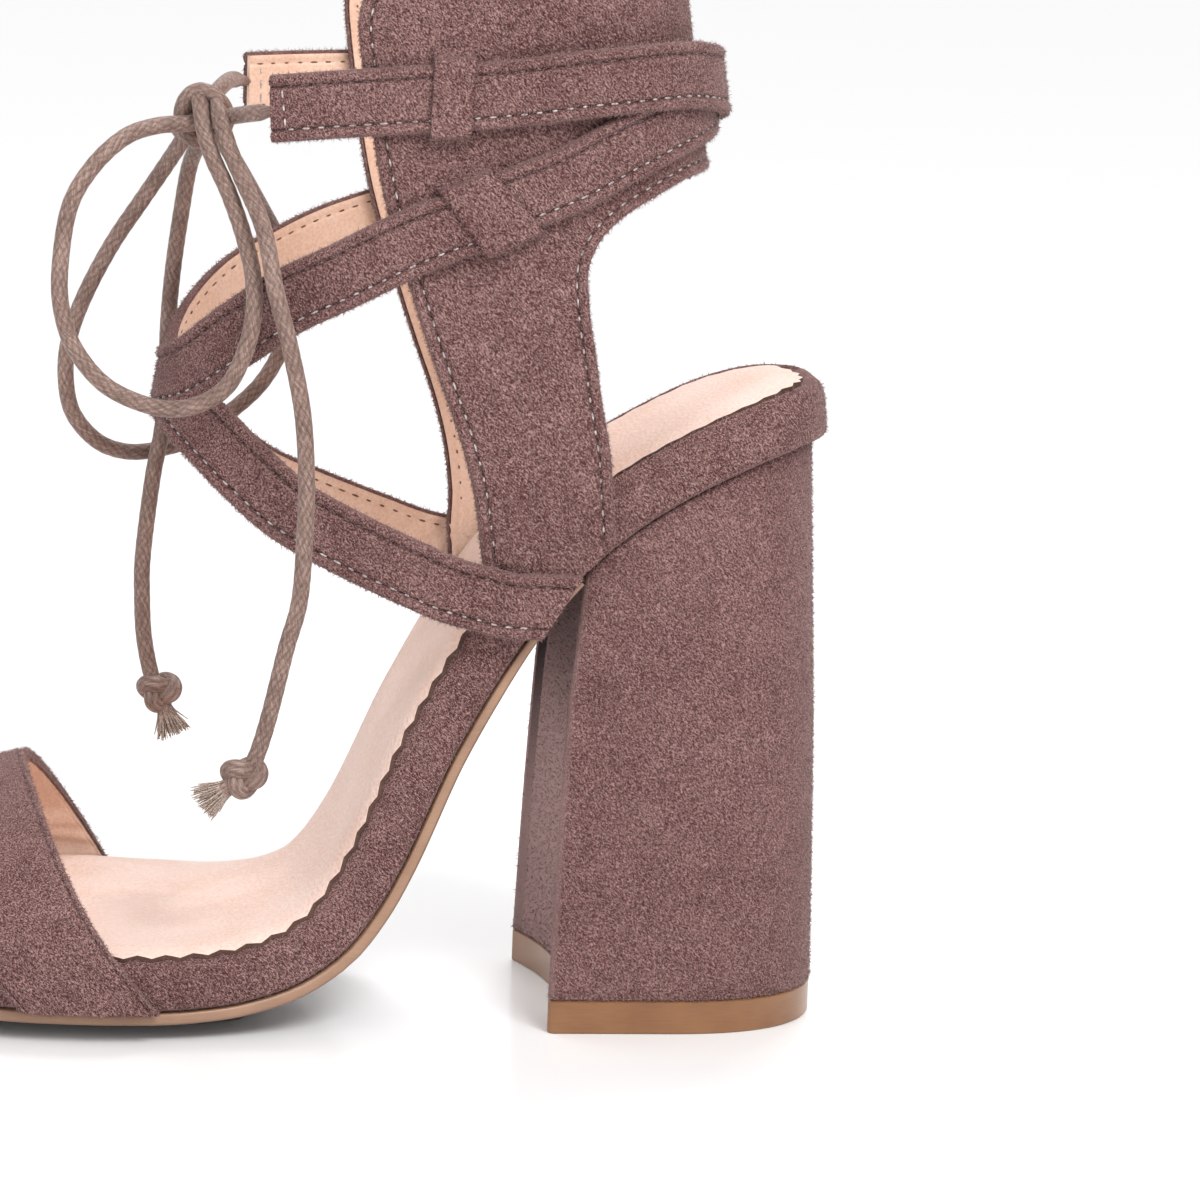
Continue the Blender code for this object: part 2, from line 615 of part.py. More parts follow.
def make_toe_band(root):
    """Make the wide band over the toes, which comes down outside the insole to the outsole."""
    columns = BAND_ALONG + 1
    shares = [(i / BAND_ACROSS, j / BAND_ALONG) for i in range(BAND_ACROSS + 1) for j in range(columns)]
    inner = [band_point(u, v, 0.0) for u, v in shares]
    outer = [band_point(u, v, WALL) for u, v in shares]
    faces = [(i * columns + j, i * columns + j + 1, (i + 1) * columns + j + 1, (i + 1) * columns + j)
             for i in range(BAND_ACROSS) for j in range(BAND_ALONG)]
    last = BAND_ACROSS * columns
    rims = [(j, j + 1) for j in range(BAND_ALONG)] + [(last + j, last + j + 1) for j in range(BAND_ALONG)]
    rims += [(i * columns + j, (i + 1) * columns + j) for i in range(BAND_ACROSS) for j in (0, BAND_ALONG)]
    return [make_object("toe_band", double_wall("toe_band", inner, outer, faces, rims), SUEDE, root)]


# Cord

def outside_knot(point, centre, radii):
    """Say whether a cord end is clear of a knot."""
    clear = [r + KNOT_CLEAR for r in radii]
    return sum(((p - c) / r) ** 2 for p, c, r in zip(point, centre, clear)) > 1.0


def make_cord_run(name, route, knots, root, spread=1.0):
    """Make one stretch of the cord as a round tube that stops just short of the knots."""
    dense = [p for p in smooth_path(route) if all(outside_knot(p, *knot) for knot in knots)]
    points = [dense[i] for i in even_steps(dense, CORD_STEP)]
    curve = bpy.data.curves.new(name, "CURVE")
    curve.dimensions = "3D"
    curve.bevel_depth = CORD_DIAMETER / 2 * MM
    curve.bevel_resolution = 2
    curve.use_fill_caps = True
    spline = curve.splines.new("POLY")
    spline.points.add(len(points) - 1)
    for k, (slot, p) in enumerate(zip(spline.points, points)):
        slot.co = (*(c * MM for c in p), 1.0)
        slot.radius = 1.0 + (spread - 1.0) * k / (len(points) - 1)
    return make_object(name, curve, WAXED_CORD, root)


def make_knot(name, centre, radii, root):
    """Make the plain outer shape of one knot."""
    mesh = bpy.data.meshes.new(name)
    shape = bmesh.new()
    bmesh.ops.create_icosphere(shape, subdivisions=2, radius=1.0)
    for vert in shape.verts:
        vert.co = [(c + v * r) * MM for c, v, r in zip(centre, vert.co, radii)]
    shape.to_mesh(mesh)
    shape.free()
    mesh.shade_smooth()
    return make_object(name, mesh, WAXED_CORD, root)


def make_cord(root):
    """Make the bow: bars from the strap ends, the knot, two loops and two tails with frayed ends."""
    bow = (KNOT_CENTRE, KNOT_RADII)
    make_knot("bow_knot", *bow, root)
    sides = {
        "lateral": (LATERAL_BAR, LATERAL_BOW, LATERAL_TAIL, LATERAL_TIP),
        "medial": (MEDIAL_BAR, MEDIAL_BOW, MEDIAL_TAIL, MEDIAL_TIP)}
    for side, (bar, bow_loop, tail, tip) in sides.items():
        tail_knot = (tail[-1], TAIL_KNOT_RADII)
        make_cord_run(side + "_cord_bar", bar, [bow], root)
        make_cord_run(side + "_bow_loop", bow_loop, [bow], root)
        make_cord_run(side + "_cord_tail", tail, [bow, tail_knot], root)
        make_knot(side + "_tail_knot", *tail_knot, root)
        make_cord_run(side + "_frayed_tip", tip, [tail_knot], root, FRAYED_SPREAD)


def centre_on_origin(root, pieces):
    """Move the empty so that the origin lies on the floor, under the middle of the shoe's own box."""
    points = np.array([v.co[:] for piece in pieces for v in piece.data.vertices])
    middle = (points.min(axis=0) + points.max(axis=0)) / 2
    root.location = (-middle[0], -middle[1], 0.0)


def main():
    """Build the sandal."""
    clear_scene()
    root = bpy.data.objects.new("sandal", None)
    bpy.context.scene.collection.objects.link(root)
    pieces = make_sole(root) + make_cuff(root) + make_straps(root) + make_toe_band(root)
    make_cord(root)
    centre_on_origin(root, pieces)


main()
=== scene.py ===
"""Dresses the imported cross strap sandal: suede and lining layers, stitches, sock, sole and tied cord.

Sizes are millimetres in the last's own frame: x runs from the toe (negative) to the back of the heel,
y from the outer side to the inner side and z up from the floor. "Reach" is the distance forward from
the back of the heel. Every mesh is written in the row's own metres.
"""
from __future__ import annotations

import json
import logging
import math
from dataclasses import dataclass, field
from enum import Enum
from typing import Any, Sequence

import bmesh
import bpy
import numpy as np
from mathutils import Matrix, Vector
from mathutils.geometry import delaunay_2d_cdt

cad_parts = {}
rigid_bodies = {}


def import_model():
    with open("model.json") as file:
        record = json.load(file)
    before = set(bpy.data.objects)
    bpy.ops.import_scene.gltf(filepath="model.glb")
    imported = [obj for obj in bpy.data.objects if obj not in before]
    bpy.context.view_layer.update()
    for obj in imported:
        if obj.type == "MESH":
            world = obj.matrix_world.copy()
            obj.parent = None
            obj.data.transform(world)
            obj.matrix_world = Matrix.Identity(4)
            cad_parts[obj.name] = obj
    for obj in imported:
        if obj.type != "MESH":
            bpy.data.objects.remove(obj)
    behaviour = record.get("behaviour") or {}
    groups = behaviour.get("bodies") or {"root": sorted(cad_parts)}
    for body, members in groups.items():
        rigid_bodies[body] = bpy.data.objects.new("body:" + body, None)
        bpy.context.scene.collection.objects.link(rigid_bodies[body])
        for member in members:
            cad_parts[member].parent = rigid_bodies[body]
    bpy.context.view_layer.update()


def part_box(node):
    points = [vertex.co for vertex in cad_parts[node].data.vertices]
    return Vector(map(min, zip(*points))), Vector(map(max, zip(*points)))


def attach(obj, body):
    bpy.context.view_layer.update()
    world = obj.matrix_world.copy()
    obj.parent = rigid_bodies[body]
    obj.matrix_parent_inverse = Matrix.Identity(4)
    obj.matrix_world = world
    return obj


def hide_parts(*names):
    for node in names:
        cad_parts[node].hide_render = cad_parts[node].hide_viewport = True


LOG = logging.getLogger("sandal")
Array = np.ndarray
Triple = tuple[float, float, float]
Pairs = tuple[tuple[float, float], ...]
Route = tuple[Triple, ...]
Face = tuple[int, ...]
Socket = bpy.types.NodeSocket

# A millimetre in metres, and the gap between fitted solids.
MM = 0.001
GAP = 0.4
# Heights in a sewn wall over the foot: the lining's back, the suede's underside and its face.
LINED = 0.78
UNDER = 0.84
WALL = 2.0


@dataclass(frozen=True)
class Table:
    """A short table whose columns are followed smoothly, with no overshoot, along the first one."""

    columns: tuple[str, ...]
    rows: tuple[tuple[float, ...], ...]

    def __call__(self, column: str, at: Any) -> Array:
        """Follow one column.

        Args:
            column: The column's name.
            at: One place or an array of places along the first column.

        Returns:
            The column's value at each place.
        """
        rows = np.array(self.rows, float)
        x, y = rows[:, 0], rows[:, self.columns.index(column)]
        step = np.diff(x)
        rise = np.diff(y) / step
        slope = np.concatenate([rise[:1], np.zeros(len(x) - 2), rise[-1:]])
        same = rise[:-1] * rise[1:] > 0
        before, after = 2 * step[1:] + step[:-1], step[1:] + 2 * step[:-1]
        parts = before[same] / rise[:-1][same] + after[same] / rise[1:][same]
        slope[1:-1][same] = (before + after)[same] / parts
        at = np.clip(np.asarray(at, float), x[0], x[-1])
        i = np.clip(np.searchsorted(x, at) - 1, 0, len(x) - 2)
        t = (at - x[i]) / step[i]
        start = (1 + 2 * t) * (1 - t) ** 2 * y[i] + t * (1 - t) ** 2 * step[i] * slope[i]
        end = t * t * (3 - 2 * t) * y[i + 1] + t * t * (t - 1) * step[i] * slope[i + 1]
        return start + end


FOOT_BED = Table(("reach", "height"), (
    (0, 115.5), (11, 114.2), (20, 111.4), (29, 107.2), (37.5, 102.4), (44, 98), (55, 88.5), (61.7, 81),
    (67.6, 72.5), (77.9, 54), (87.2, 33), (90.9, 26.4), (95.6, 20.8), (103, 17), (112, 15.3), (125, 14.7),
    (140, 14.7), (160, 15.6), (180, 17.8), (202, 21.5)))
SOLE_OUTLINE = Table(("reach", "middle", "half"), (
    (0, 0, 25), (45, 0, 25), (62, -0.4, 24.6), (78, -1.6, 23.2), (90, -1.5, 25.2), (104, 1, 33),
    (120, 3.8, 39.2), (135, 5.8, 41), (150, 7.3, 40.5), (165, 9, 39), (180, 10.5, 37), (202, 12.5, 34)))
OUTSOLE_DEPTH = Table(("reach", "depth"), (
    (50, 2.3), (97, 2.6), (111, 6.2), (152, 6.2), (175, 2.8), (202, 2.4)))
HEEL_SECTIONS = Table(("height", "front", "back", "half"), (
    (6, -51.9, -0.9, 27.8), (35, -51.0, -1.7, 26.5), (60, -49.9, -2.6, 25.0), (90, -47.6, -5.0, 23.4)))
ANKLE_FORM = Table(("height", "back", "front", "half"), (
    (70, 8, -152, 25.8), (85, 8, -138, 25.7), (100, 0, -124, 26), (112, -9, -119, 26.4),
    (130, -20, -118, 27), (150, -27, -117.5, 27.2), (170, -30.6, -117.2, 27), (190, -33.6, -117, 26.5)))
BAND_PEAK = Table(("reach", "height"), ((120, 41), (144, 39.7), (152, 37.2), (170, 30.5)))

STRAP_COLUMNS = ("turn", "height", "stand_off")
LATERAL_STRAP = Table(STRAP_COLUMNS, (
    (80.5, 77.3, 2.6), (86, 77.6, 2.6), (91, 79.5, 2.6), (98, 83, 2.2), (109, 88, 1.2), (121, 93, 0.6),
    (134, 99, 0.4), (147, 104.4, 0.4), (163, 108.7, 0.4), (180, 112, 0.4), (198, 117.5, 0.4),
    (224, 127.5, 0.5), (236, 131.4, 0.8), (249, 135.5, 1.8), (260, 138.5, 2.6), (272, 142.5, 2.6),
    (285, 147, 2.8), (300, 152, 4.0), (320, 158, 5.1), (340, 163, 5.1), (360, 166.5, 5.1), (374, 168.3, 5.1),
    (397, 170, 4.9), (422, 169.1, 4.0), (440, 167.3, 2.8), (456, 165.9, 2.6), (472, 164.6, 2.6),
    (491, 163, 2.4)))
MEDIAL_STRAP = Table(STRAP_COLUMNS, (
    (80.5, 77, 2.6), (86, 77.2, 2.6), (91, 78.8, 2.6), (98, 82, 2.6), (109, 86.5, 2.4), (121, 91, 2.3),
    (134, 96.8, 2.3), (147, 103, 2.2), (163, 108.7, 2.0), (180, 112, 2.0), (198, 115, 2.0), (220, 124, 2.2),
    (233, 130, 2.3), (246, 135, 2.5), (260, 141, 2.6), (270, 145, 2.6), (278, 148.6, 2.6), (290, 152.4, 2.6),
    (308, 158.2, 2.6), (328, 162.3, 2.6), (346, 164, 2.6), (360, 164.6, 2.6), (380, 164.8, 2.6),
    (410, 164.6, 2.6), (450, 163.9, 2.6), (470, 163.4, 2.5), (493, 163, 2.3)))


class Slot(Enum):
    """The record's material slots."""

    SUEDE = "taupe_suede"
    NUDE = "nude_leather"
    TAN = "tan_resin"
    CARAMEL = "caramel_rubber"
    CORD = "waxed_cord"


class Side(Enum):
    """The shoe's two sides, with the sign of their degrees round the ankle."""

    LATERAL = -1
    MEDIAL = 1


class Skin(Enum):
    """The two faces of a stitched layer."""

    OUTER = 1
    INNER = -1


class LampKind(Enum):
    """The studio's kinds of light."""

    SOFT_BOX = "AREA"
    GLOW = "SUN"


# Finishes

class Nodes:
    """A node tree, written one node at a time."""

    def __init__(self, tree: bpy.types.NodeTree) -> None:
        """Take the tree to write."""
        self.tree = tree

    def feed(self, socket: Socket, value: Any) -> None:
        """Link an output to a socket, or set the socket.

        Args:
            socket: The input.
            value: The output, or a plain value.
        """
        if isinstance(value, Socket):
            self.tree.links.new(value, socket)
        else:
            socket.default_value = value

    def add(self, kind: str, inputs: dict[Any, Any], output: Any = 0, **settings: Any) -> Socket:
        """Add one node.

        Args:
            kind: The node's type name.
            inputs: Values or sockets by the input's name or number.
            output: The output's name or number.
            settings: The node's own properties.

        Returns:
            The chosen output socket.
        """
        node = self.tree.nodes.new(kind)
        for key, value in settings.items():
            setattr(node, key, value)
        for key, value in inputs.items():
            self.feed(node.inputs[key], value)
        return node.outputs[output]

    def math(self, operation: str, first: Any, second: Any) -> Socket:
        """Return the result of one sum on two values."""
        return self.add("ShaderNodeMath", {0: first, 1: second}, operation=operation)


class Shader(Nodes):
    """A material's node tree round its Principled shader."""

    def __init__(self, name: str) -> None:
        """Start a material.

        Args:
            name: The material's name.
        """
        self.material = bpy.data.materials.new(name)
        self.material.use_nodes = True
        super().__init__(self.material.node_tree)
        self.surface = self.tree.nodes["Principled BSDF"]

    def place(self) -> Socket:
        """Return the piece's own coordinates in metres."""
        return self.add("ShaderNodeTexCoord", {}, "Object")

    def stretched(self, place: Socket, turn: Triple, longer: Triple) -> Socket:
        """Return coordinates turned and drawn out, so that a pattern is longer along its own turned axes."""
        inputs = {"Vector": place, "Rotation": turn, "Scale": longer}
        return self.add("ShaderNodeMapping", inputs, vector_type="TEXTURE")

    def noise(self, place: Socket, size_mm: float, detail: float = 2.0, swirl: float = 0.0) -> Socket:
        """Return soft noise with marks of about a size in millimetres, swirled or plain."""
        return self.add("ShaderNodeTexNoise", {"Vector": place, "Scale": 1.0 / (size_mm * MM), "Detail": detail,
                                               "Roughness": 0.55, "Distortion": swirl})

    def blend(self, shares: Sequence[tuple[Socket, float]]) -> Socket:
        """Add up values by their weights.

        Args:
            shares: The values and their weights.

        Returns:
            The sum.
        """
        total: Any = 0.0
        for socket, share in shares:
            total = self.math("ADD", self.math("MULTIPLY", socket, share), total)
        return total

    def ramp(self, value: Socket, stops: Sequence[tuple[float, Triple]]) -> Socket:
        """Colour a value.

        Args:
            value: The value.
            stops: Colours by value, in rising order.

        Returns:
            The colour.
        """
        ramp = self.add("ShaderNodeValToRGB", {"Fac": value})
        elements = ramp.node.color_ramp.elements
        while len(elements) < len(stops):
            elements.new(1.0)
        for element, (at, colour) in zip(elements, stops):
            element.position = at
            element.color = (*colour, 1.0)
        return ramp

    def mark(self, name: str) -> Socket:
        """Return one of the piece's own point values."""
        return self.add("ShaderNodeAttribute", {}, "Fac", attribute_name=name)

    def mix(self, share: Any, first: Any, second: Any) -> Socket:
        """Mix two colours.

        Args:
            share: The second one's share.
            first: A colour or a socket.
            second: A colour or a socket.

        Returns:
            The mixed colour.
        """
        node = self.tree.nodes.new("ShaderNodeMix")
        node.data_type = "RGBA"
        for key, value in (("Factor", share), ("A", first), ("B", second)):
            socket = next(s for s in node.inputs if s.name == key and s.enabled)
            self.feed(socket, (*value, 1.0) if isinstance(value, tuple) else value)
        return next(s for s in node.outputs if s.enabled)

    def bump(self, height: Socket, depth_mm: float, strength: float) -> None:
        """Roughen the surface by a height."""
        relief = {"Height": height, "Distance": depth_mm * MM, "Strength": strength}
        self.feed(self.surface.inputs["Normal"], self.add("ShaderNodeBump", relief))

    def shine(self, **sockets: Any) -> None:
        """Set the shader's own constant sockets.

        Args:
            sockets: Values by the socket's name, in lower case with underscores.
        """
        names = {key.lower().replace(" ", "_"): key for key in self.surface.inputs.keys()}
        for key, value in sockets.items():
            self.surface.inputs[names[key]].default_value = (*value, 1.0) if isinstance(value, tuple) else value

    def colour(self, value: Any) -> None:
        """Set or link the base colour."""
        self.feed(self.surface.inputs["Base Color"], value)


@dataclass(frozen=True)
class Finish:
    """A named surface for one of the record's slots, made into a material once."""

    name: str
    slot: Slot

    def dress(self, shader: Shader) -> None:
        """Write the finish's nodes."""
        raise NotImplementedError

    def material(self) -> bpy.types.Material:
        """Make the finish's material, or find the one already made.

        Returns:
            The material.
        """
        found = bpy.data.materials.get(self.name)
        if found is None:
            shader = Shader(self.name)
            self.dress(shader)
            found = shader.material
        return found


@dataclass(frozen=True)
class SuedeFinish(Finish):
    """Brushed suede: short swirls of nap that catch the light, paler turned edges, painted sheen on the heel's breast
    and painted shade along stitch grooves and shadow gaps.
    """

    dark: Triple
    middle: Triple
    light: Triple
    # turned is the paler edge colour and also the heel's painted sheen and highlight; seam is painted shade along
    # grooves and gaps.
    turned: Triple
    seam: Triple
    swirl_mm: float
    swirl: float = 0.5
    brushed: Triple = (0.0, 0.8, 0.15)
    drawn: Triple = (2.4, 1.0, 1.0)
    fuzz_mm: float = 0.14
    mottle_mm: float = 5.0
    cloud_mm: float = 24.0
    relief_mm: float = 0.28

    def dress(self, shader: Shader) -> None:
        """Write the suede's nodes.

        Args:
            shader: The material.
        """
        place = shader.place()
        nap = shader.noise(shader.stretched(place, self.brushed, self.drawn), self.swirl_mm, 1.0, self.swirl)
        fuzz = shader.noise(place, self.fuzz_mm, 1.0, 0.4)
        mottle = shader.noise(place, self.mottle_mm, 3.0)
        cloud = shader.noise(place, self.cloud_mm)
        tone = shader.blend(((nap, 0.50), (fuzz, 0.36), (mottle, 0.07), (cloud, 0.07)))
        pile = shader.ramp(tone, ((0.41, self.dark), (0.5, self.middle), (0.60, self.light)))
        # Mix in the paler edge colour and painted sheen, then the painted shade along seams and gaps.
        edged = shader.mix(shader.mark("turned_edge"), pile, self.turned)
        shader.colour(shader.mix(shader.mark("seam"), edged, self.seam))
        shader.bump(shader.blend(((nap, 0.6), (fuzz, 0.4))), self.relief_mm, 0.55)
        shader.shine(roughness=0.95, specular_ior_level=0.1, sheen_weight=0.22, sheen_roughness=0.4,
                     sheen_tint=(0.9, 0.7, 0.66))


@dataclass(frozen=True)
class LeatherFinish(Finish):
    """Smooth leather with a fine pebbled grain and soft changes of tone."""

    pale: Triple
    warm: Triple
    grain_mm: float
    depth_mm: float
    roughness: float
    cloud_mm: float = 16.0
    uneven: float = 0.16

    def dress(self, shader: Shader) -> None:
        """Write the leather's nodes.

        Args:
            shader: The material.
        """
        place = shader.place()
        cells = shader.add("ShaderNodeTexVoronoi", {
            "Vector": place, "Scale": 1.0 / (self.grain_mm * MM), "Randomness": 0.9}, "Distance")
        fine = shader.noise(place, self.grain_mm * 0.6, 3.0)
        cloud = shader.noise(place, self.cloud_mm, 3.0)
        tone = shader.blend(((cloud, 0.55), (fine, 0.2), (cells, 0.25)))
        shader.colour(shader.ramp(tone, ((0.36, self.warm), (0.58, self.pale))))
        shader.bump(shader.blend(((cells, 0.6), (fine, 0.4))), self.depth_mm, 0.8)
        rough = shader.math("ADD", shader.math("MULTIPLY", fine, self.uneven), self.roughness - self.uneven / 2)
        shader.feed(shader.surface.inputs["Roughness"], rough)
        shader.shine(specular_ior_level=0.42, sheen_weight=0.08, sheen_roughness=0.5)


@dataclass(frozen=True)
class ResinFinish(Finish):
    """Trimmed resin or rubber edge with faint lines left by the trimming wheel, and painted shade on the tread
    underside.
    """

    pale: Triple
    deep: Triple
    # tread is painted shade on the underside near the floor.
    tread: Triple
    roughness: float
    coat: float
    line_mm: float = 0.5
    trimmed: Triple = (8.0, 8.0, 0.6)
    cloud_mm: float = 9.0

    def dress(self, shader: Shader) -> None:
        """Write the resin's nodes.

        Args:
            shader: The material.
        """
        place = shader.place()
        lines = shader.noise(shader.stretched(place, (0.0, 0.0, 0.0), self.trimmed), self.line_mm)
        tone = shader.blend(((lines, 0.35), (shader.noise(place, self.cloud_mm), 0.65)))
        edge = shader.ramp(tone, ((0.35, self.deep), (0.65, self.pale)))
        # Painted shade over the tread.
        shader.colour(shader.mix(shader.mark("tread"), edge, self.tread))
        shader.bump(lines, 0.06, 0.3)
        shader.shine(roughness=self.roughness, specular_ior_level=0.5, coat_weight=self.coat, coat_roughness=0.12)


@dataclass(frozen=True)
class CordFinish(Finish):
    """Waxed braided cord: painted shade between the strands and painted highlight on their backs, with fine drawn
    fibres.
    """

    deep: Triple
    middle: Triple
    pale: Triple
    fibre_mm: float = 0.3
    fleck_mm: float = 0.26
    cloud_mm: float = 5.0

    def dress(self, shader: Shader) -> None:
        """Write the cord's nodes.

        Args:
            shader: The material.
        """
        place = shader.place()
        lay = shader.add("ShaderNodeCombineXYZ", {axis: shader.mark("lay_" + axis.lower()) for axis in "XYZ"})
        drawn = shader.noise(lay, self.fibre_mm)
        fleck = shader.noise(place, self.fleck_mm, 1.0)
        cloud = shader.noise(place, self.cloud_mm)
        # The plait's height paints shade between the strands and a highlight on their backs.
        tone = shader.blend(((shader.mark("braid"), 0.2), (drawn, 0.42), (fleck, 0.2), (cloud, 0.18)))
        shader.colour(shader.ramp(tone, ((0.34, self.deep), (0.52, self.middle), (0.70, self.pale))))
        shader.bump(shader.blend(((drawn, 0.7), (fleck, 0.3))), 0.2, 0.55)
        shader.shine(roughness=0.55, specular_ior_level=0.4, sheen_weight=0.2, sheen_roughness=0.4)


@dataclass(frozen=True)
class ThreadFinish(Finish):
    """Twisted sewing thread or loose fibre."""

    tone: Triple
    shade: Triple
    twist_mm: float = 0.25
    twist: Triple = (0.3, 0.7, 0.2)
    drawn: Triple = (2.0, 1.0, 1.0)

    def dress(self, shader: Shader) -> None:
        """Write the thread's nodes.

        Args:
            shader: The material.
        """
        ply = shader.noise(shader.stretched(shader.place(), self.twist, self.drawn), self.twist_mm, 1.0)
        shader.colour(shader.ramp(ply, ((0.36, self.shade), (0.6, self.tone))))
        shader.shine(roughness=0.6, specular_ior_level=0.3)


# SUEDE's seam colour is painted shade in stitch grooves and beside the belt loops.
SUEDE = SuedeFinish(
    "brushed_suede", Slot.SUEDE, dark=(0.058, 0.023, 0.023), middle=(0.128, 0.060, 0.0565),
    light=(0.38, 0.235, 0.22), turned=(0.19, 0.11, 0.102), seam=(0.012, 0.005, 0.005), swirl_mm=0.23)
# HEEL_SUEDE's pale turned colour is painted sheen on the breast and painted highlight on its corner lips; its seam
# colour is a painted shadow line at the breast's edges.
HEEL_SUEDE = SuedeFinish(
    "heel_suede", Slot.SUEDE, dark=(0.064, 0.027, 0.027), middle=(0.137, 0.066, 0.062),
    light=(0.35, 0.21, 0.20), turned=(0.30, 0.20, 0.19), seam=(0.01, 0.005, 0.006), swirl_mm=0.21)
SOCK_LEATHER = LeatherFinish(
    "nude_sock_leather", Slot.NUDE, pale=(0.80, 0.60, 0.525), warm=(0.73, 0.505, 0.41),
    grain_mm=0.85, depth_mm=0.34, roughness=0.44)
# Very dark sock edge: partly the leather's stained cut edge, partly painted shade under the pinked teeth.
SOCK_EDGE = LeatherFinish(
    "stained_and_shaded_sock_edge", Slot.NUDE, pale=(0.10, 0.045, 0.03), warm=(0.05, 0.022, 0.016),
    grain_mm=0.5, depth_mm=0.1, roughness=0.7)
LINING_LEATHER = LeatherFinish(
    "tan_lining_leather", Slot.NUDE, pale=(0.80, 0.575, 0.455), warm=(0.69, 0.45, 0.33),
    grain_mm=0.6, depth_mm=0.1, roughness=0.5)
OUTSOLE_RESIN = ResinFinish(
    "tan_outsole_resin", Slot.TAN, pale=(0.36, 0.208, 0.132), deep=(0.285, 0.157, 0.098),
    tread=(0.06, 0.03, 0.024), roughness=0.42, coat=0.15)
LIFT_RUBBER = ResinFinish(
    "caramel_lift_rubber", Slot.CARAMEL, pale=(0.25, 0.110, 0.040), deep=(0.20, 0.083, 0.030),
    tread=(0.12, 0.05, 0.02), roughness=0.34, coat=0.25)
WAXED_CORD = CordFinish(
    "waxed_braid", Slot.CORD, deep=(0.070, 0.041, 0.033), middle=(0.186, 0.115, 0.093),
    pale=(0.39, 0.272, 0.228))
PALE_THREAD = ThreadFinish("pale_thread", Slot.CORD, tone=(0.62, 0.57, 0.55), shade=(0.33, 0.28, 0.26))
# A darker copy of the thread: painted shade for stitches sunk in a shaded groove.
SHADED_THREAD = ThreadFinish("shaded_taupe_thread", Slot.CORD, tone=(0.22, 0.15, 0.14), shade=(0.07, 0.038, 0.035))
DARK_THREAD = ThreadFinish("brown_thread", Slot.CORD, tone=(0.24, 0.13, 0.085), shade=(0.11, 0.055, 0.035))
NAP_FIBRE = ThreadFinish("loose_nap", Slot.SUEDE, tone=(0.42, 0.275, 0.258), shade=(0.095, 0.048, 0.045))
FRAYED_FIBRE = ThreadFinish("frayed_fibre", Slot.CORD, tone=(0.50, 0.40, 0.34), shade=(0.24, 0.17, 0.135))


# Shapes

@dataclass
class Shape:
    """Points in millimetres, the faces between them, named point values and the first face of a cut edge."""

    points: Array
    faces: list[Face]
    marks: dict[str, Array] = field(default_factory=dict)
    first_rim: int | None = None


def joined(*shapes: Shape) -> Shape:
    """Make one shape of several that have the same point values.

    Args:
        shapes: The shapes.

    Returns:
        All of them as one.
    """
    faces: list[Face] = []
    count = 0
    for shape in shapes:
        faces += [tuple(count + i for i in face) for face in shape.faces]
        count += len(shape.points)
    marks = {key: np.concatenate([shape.marks[key] for shape in shapes]) for key in shapes[0].marks}
    return Shape(np.vstack([shape.points for shape in shapes]), faces, marks)


def loft(rings: Array, marks: dict[str, Array] | None = None, closed: bool = False) -> Shape:
    """Skin rings of equal count.

    Args:
        rings: Points by ring and by place on the ring.
        marks: Point values of the same two leading sizes.
        closed: Whether the last ring joins the first; otherwise both ends are capped.

    Returns:
        A closed shape.
    """
    total, count = rings.shape[:2]
    faces = []
    for r in range(total if closed else total - 1):
        a, b = r * count, ((r + 1) % total) * count
        faces += [(a + i, a + (i + 1) % count, b + (i + 1) % count, b + i) for i in range(count)]
    if not closed:
        last = (total - 1) * count
        faces += [tuple(range(count)), tuple(last + i for i in range(count))]
    flat = {key: np.asarray(value, float).reshape(-1) for key, value in (marks or {}).items()}
    return Shape(rings.reshape(-1, 3), faces, flat)


def double_wall(inner: Array, outer: Array, faces: list[Face], marks: dict[str, Array] | None = None) -> Shape:
    """Close two skins of one pattern along its rims.

    Args:
        inner: The inner skin's points.
        outer: The outer skin's points, in the same order.
        faces: The pattern's faces.
        marks: The outer skin's point values.

    Returns:
        A closed shape.
    """
    count = len(inner)
    uses: dict[frozenset[int], list[tuple[int, int]]] = {}
    for face in faces:
        for a, b in zip(face, face[1:] + face[:1]):
            uses.setdefault(frozenset((a, b)), []).append((a, b))
    rims = [pairs[0] for pairs in uses.values() if len(pairs) == 1]
    walls = [tuple(face) for face in faces]
    walls += [tuple(count + i for i in face) for face in faces]
    walls += [(a, b, count + b, count + a) for a, b in rims]
    both = {key: np.concatenate([value, value]) for key, value in (marks or {}).items()}
    return Shape(np.vstack([inner, outer]), walls, both, 2 * len(faces))


def trimmed(faces: Sequence[Face]) -> tuple[list[int], list[Face]]:
    """Number faces by the points that they use.

    Args:
        faces: The faces.

    Returns:
        The used points' old numbers in order, and the faces by their new numbers.
    """
    used = sorted({i for face in faces for i in face})
    index = {old: new for new, old in enumerate(used)}
    return used, [tuple(index[i] for i in face) for face in faces]


def cut_pattern(outline: Array, inside: Array, lines: Sequence[tuple[int, int]] = ()) -> tuple[Array, list[Face]]:
    """Fill a flat outline with triangles.

    Args:
        outline: The cut edge, in order.
        inside: Points to use inside it.
        lines: Pairs of inside points that stay joined.

    Returns:
        The used points and the triangles between them.
    """
    count = len(outline)
    edges = [(i, (i + 1) % count) for i in range(count)] + [(count + a, count + b) for a, b in lines]
    given = [Vector(p) for p in np.vstack([outline, inside]).tolist()]
    points, _, faces, _, _, _ = delaunay_2d_cdt(given, edges, [list(range(count))], 1, 1e-5)
    used, kept = trimmed(faces)
    return np.array([points[i][:] for i in used]), kept


def unit(vectors: Array) -> Array:
    """Return vectors of length one."""
    return vectors / np.maximum(np.linalg.norm(vectors, axis=-1, keepdims=True), 1e-9)


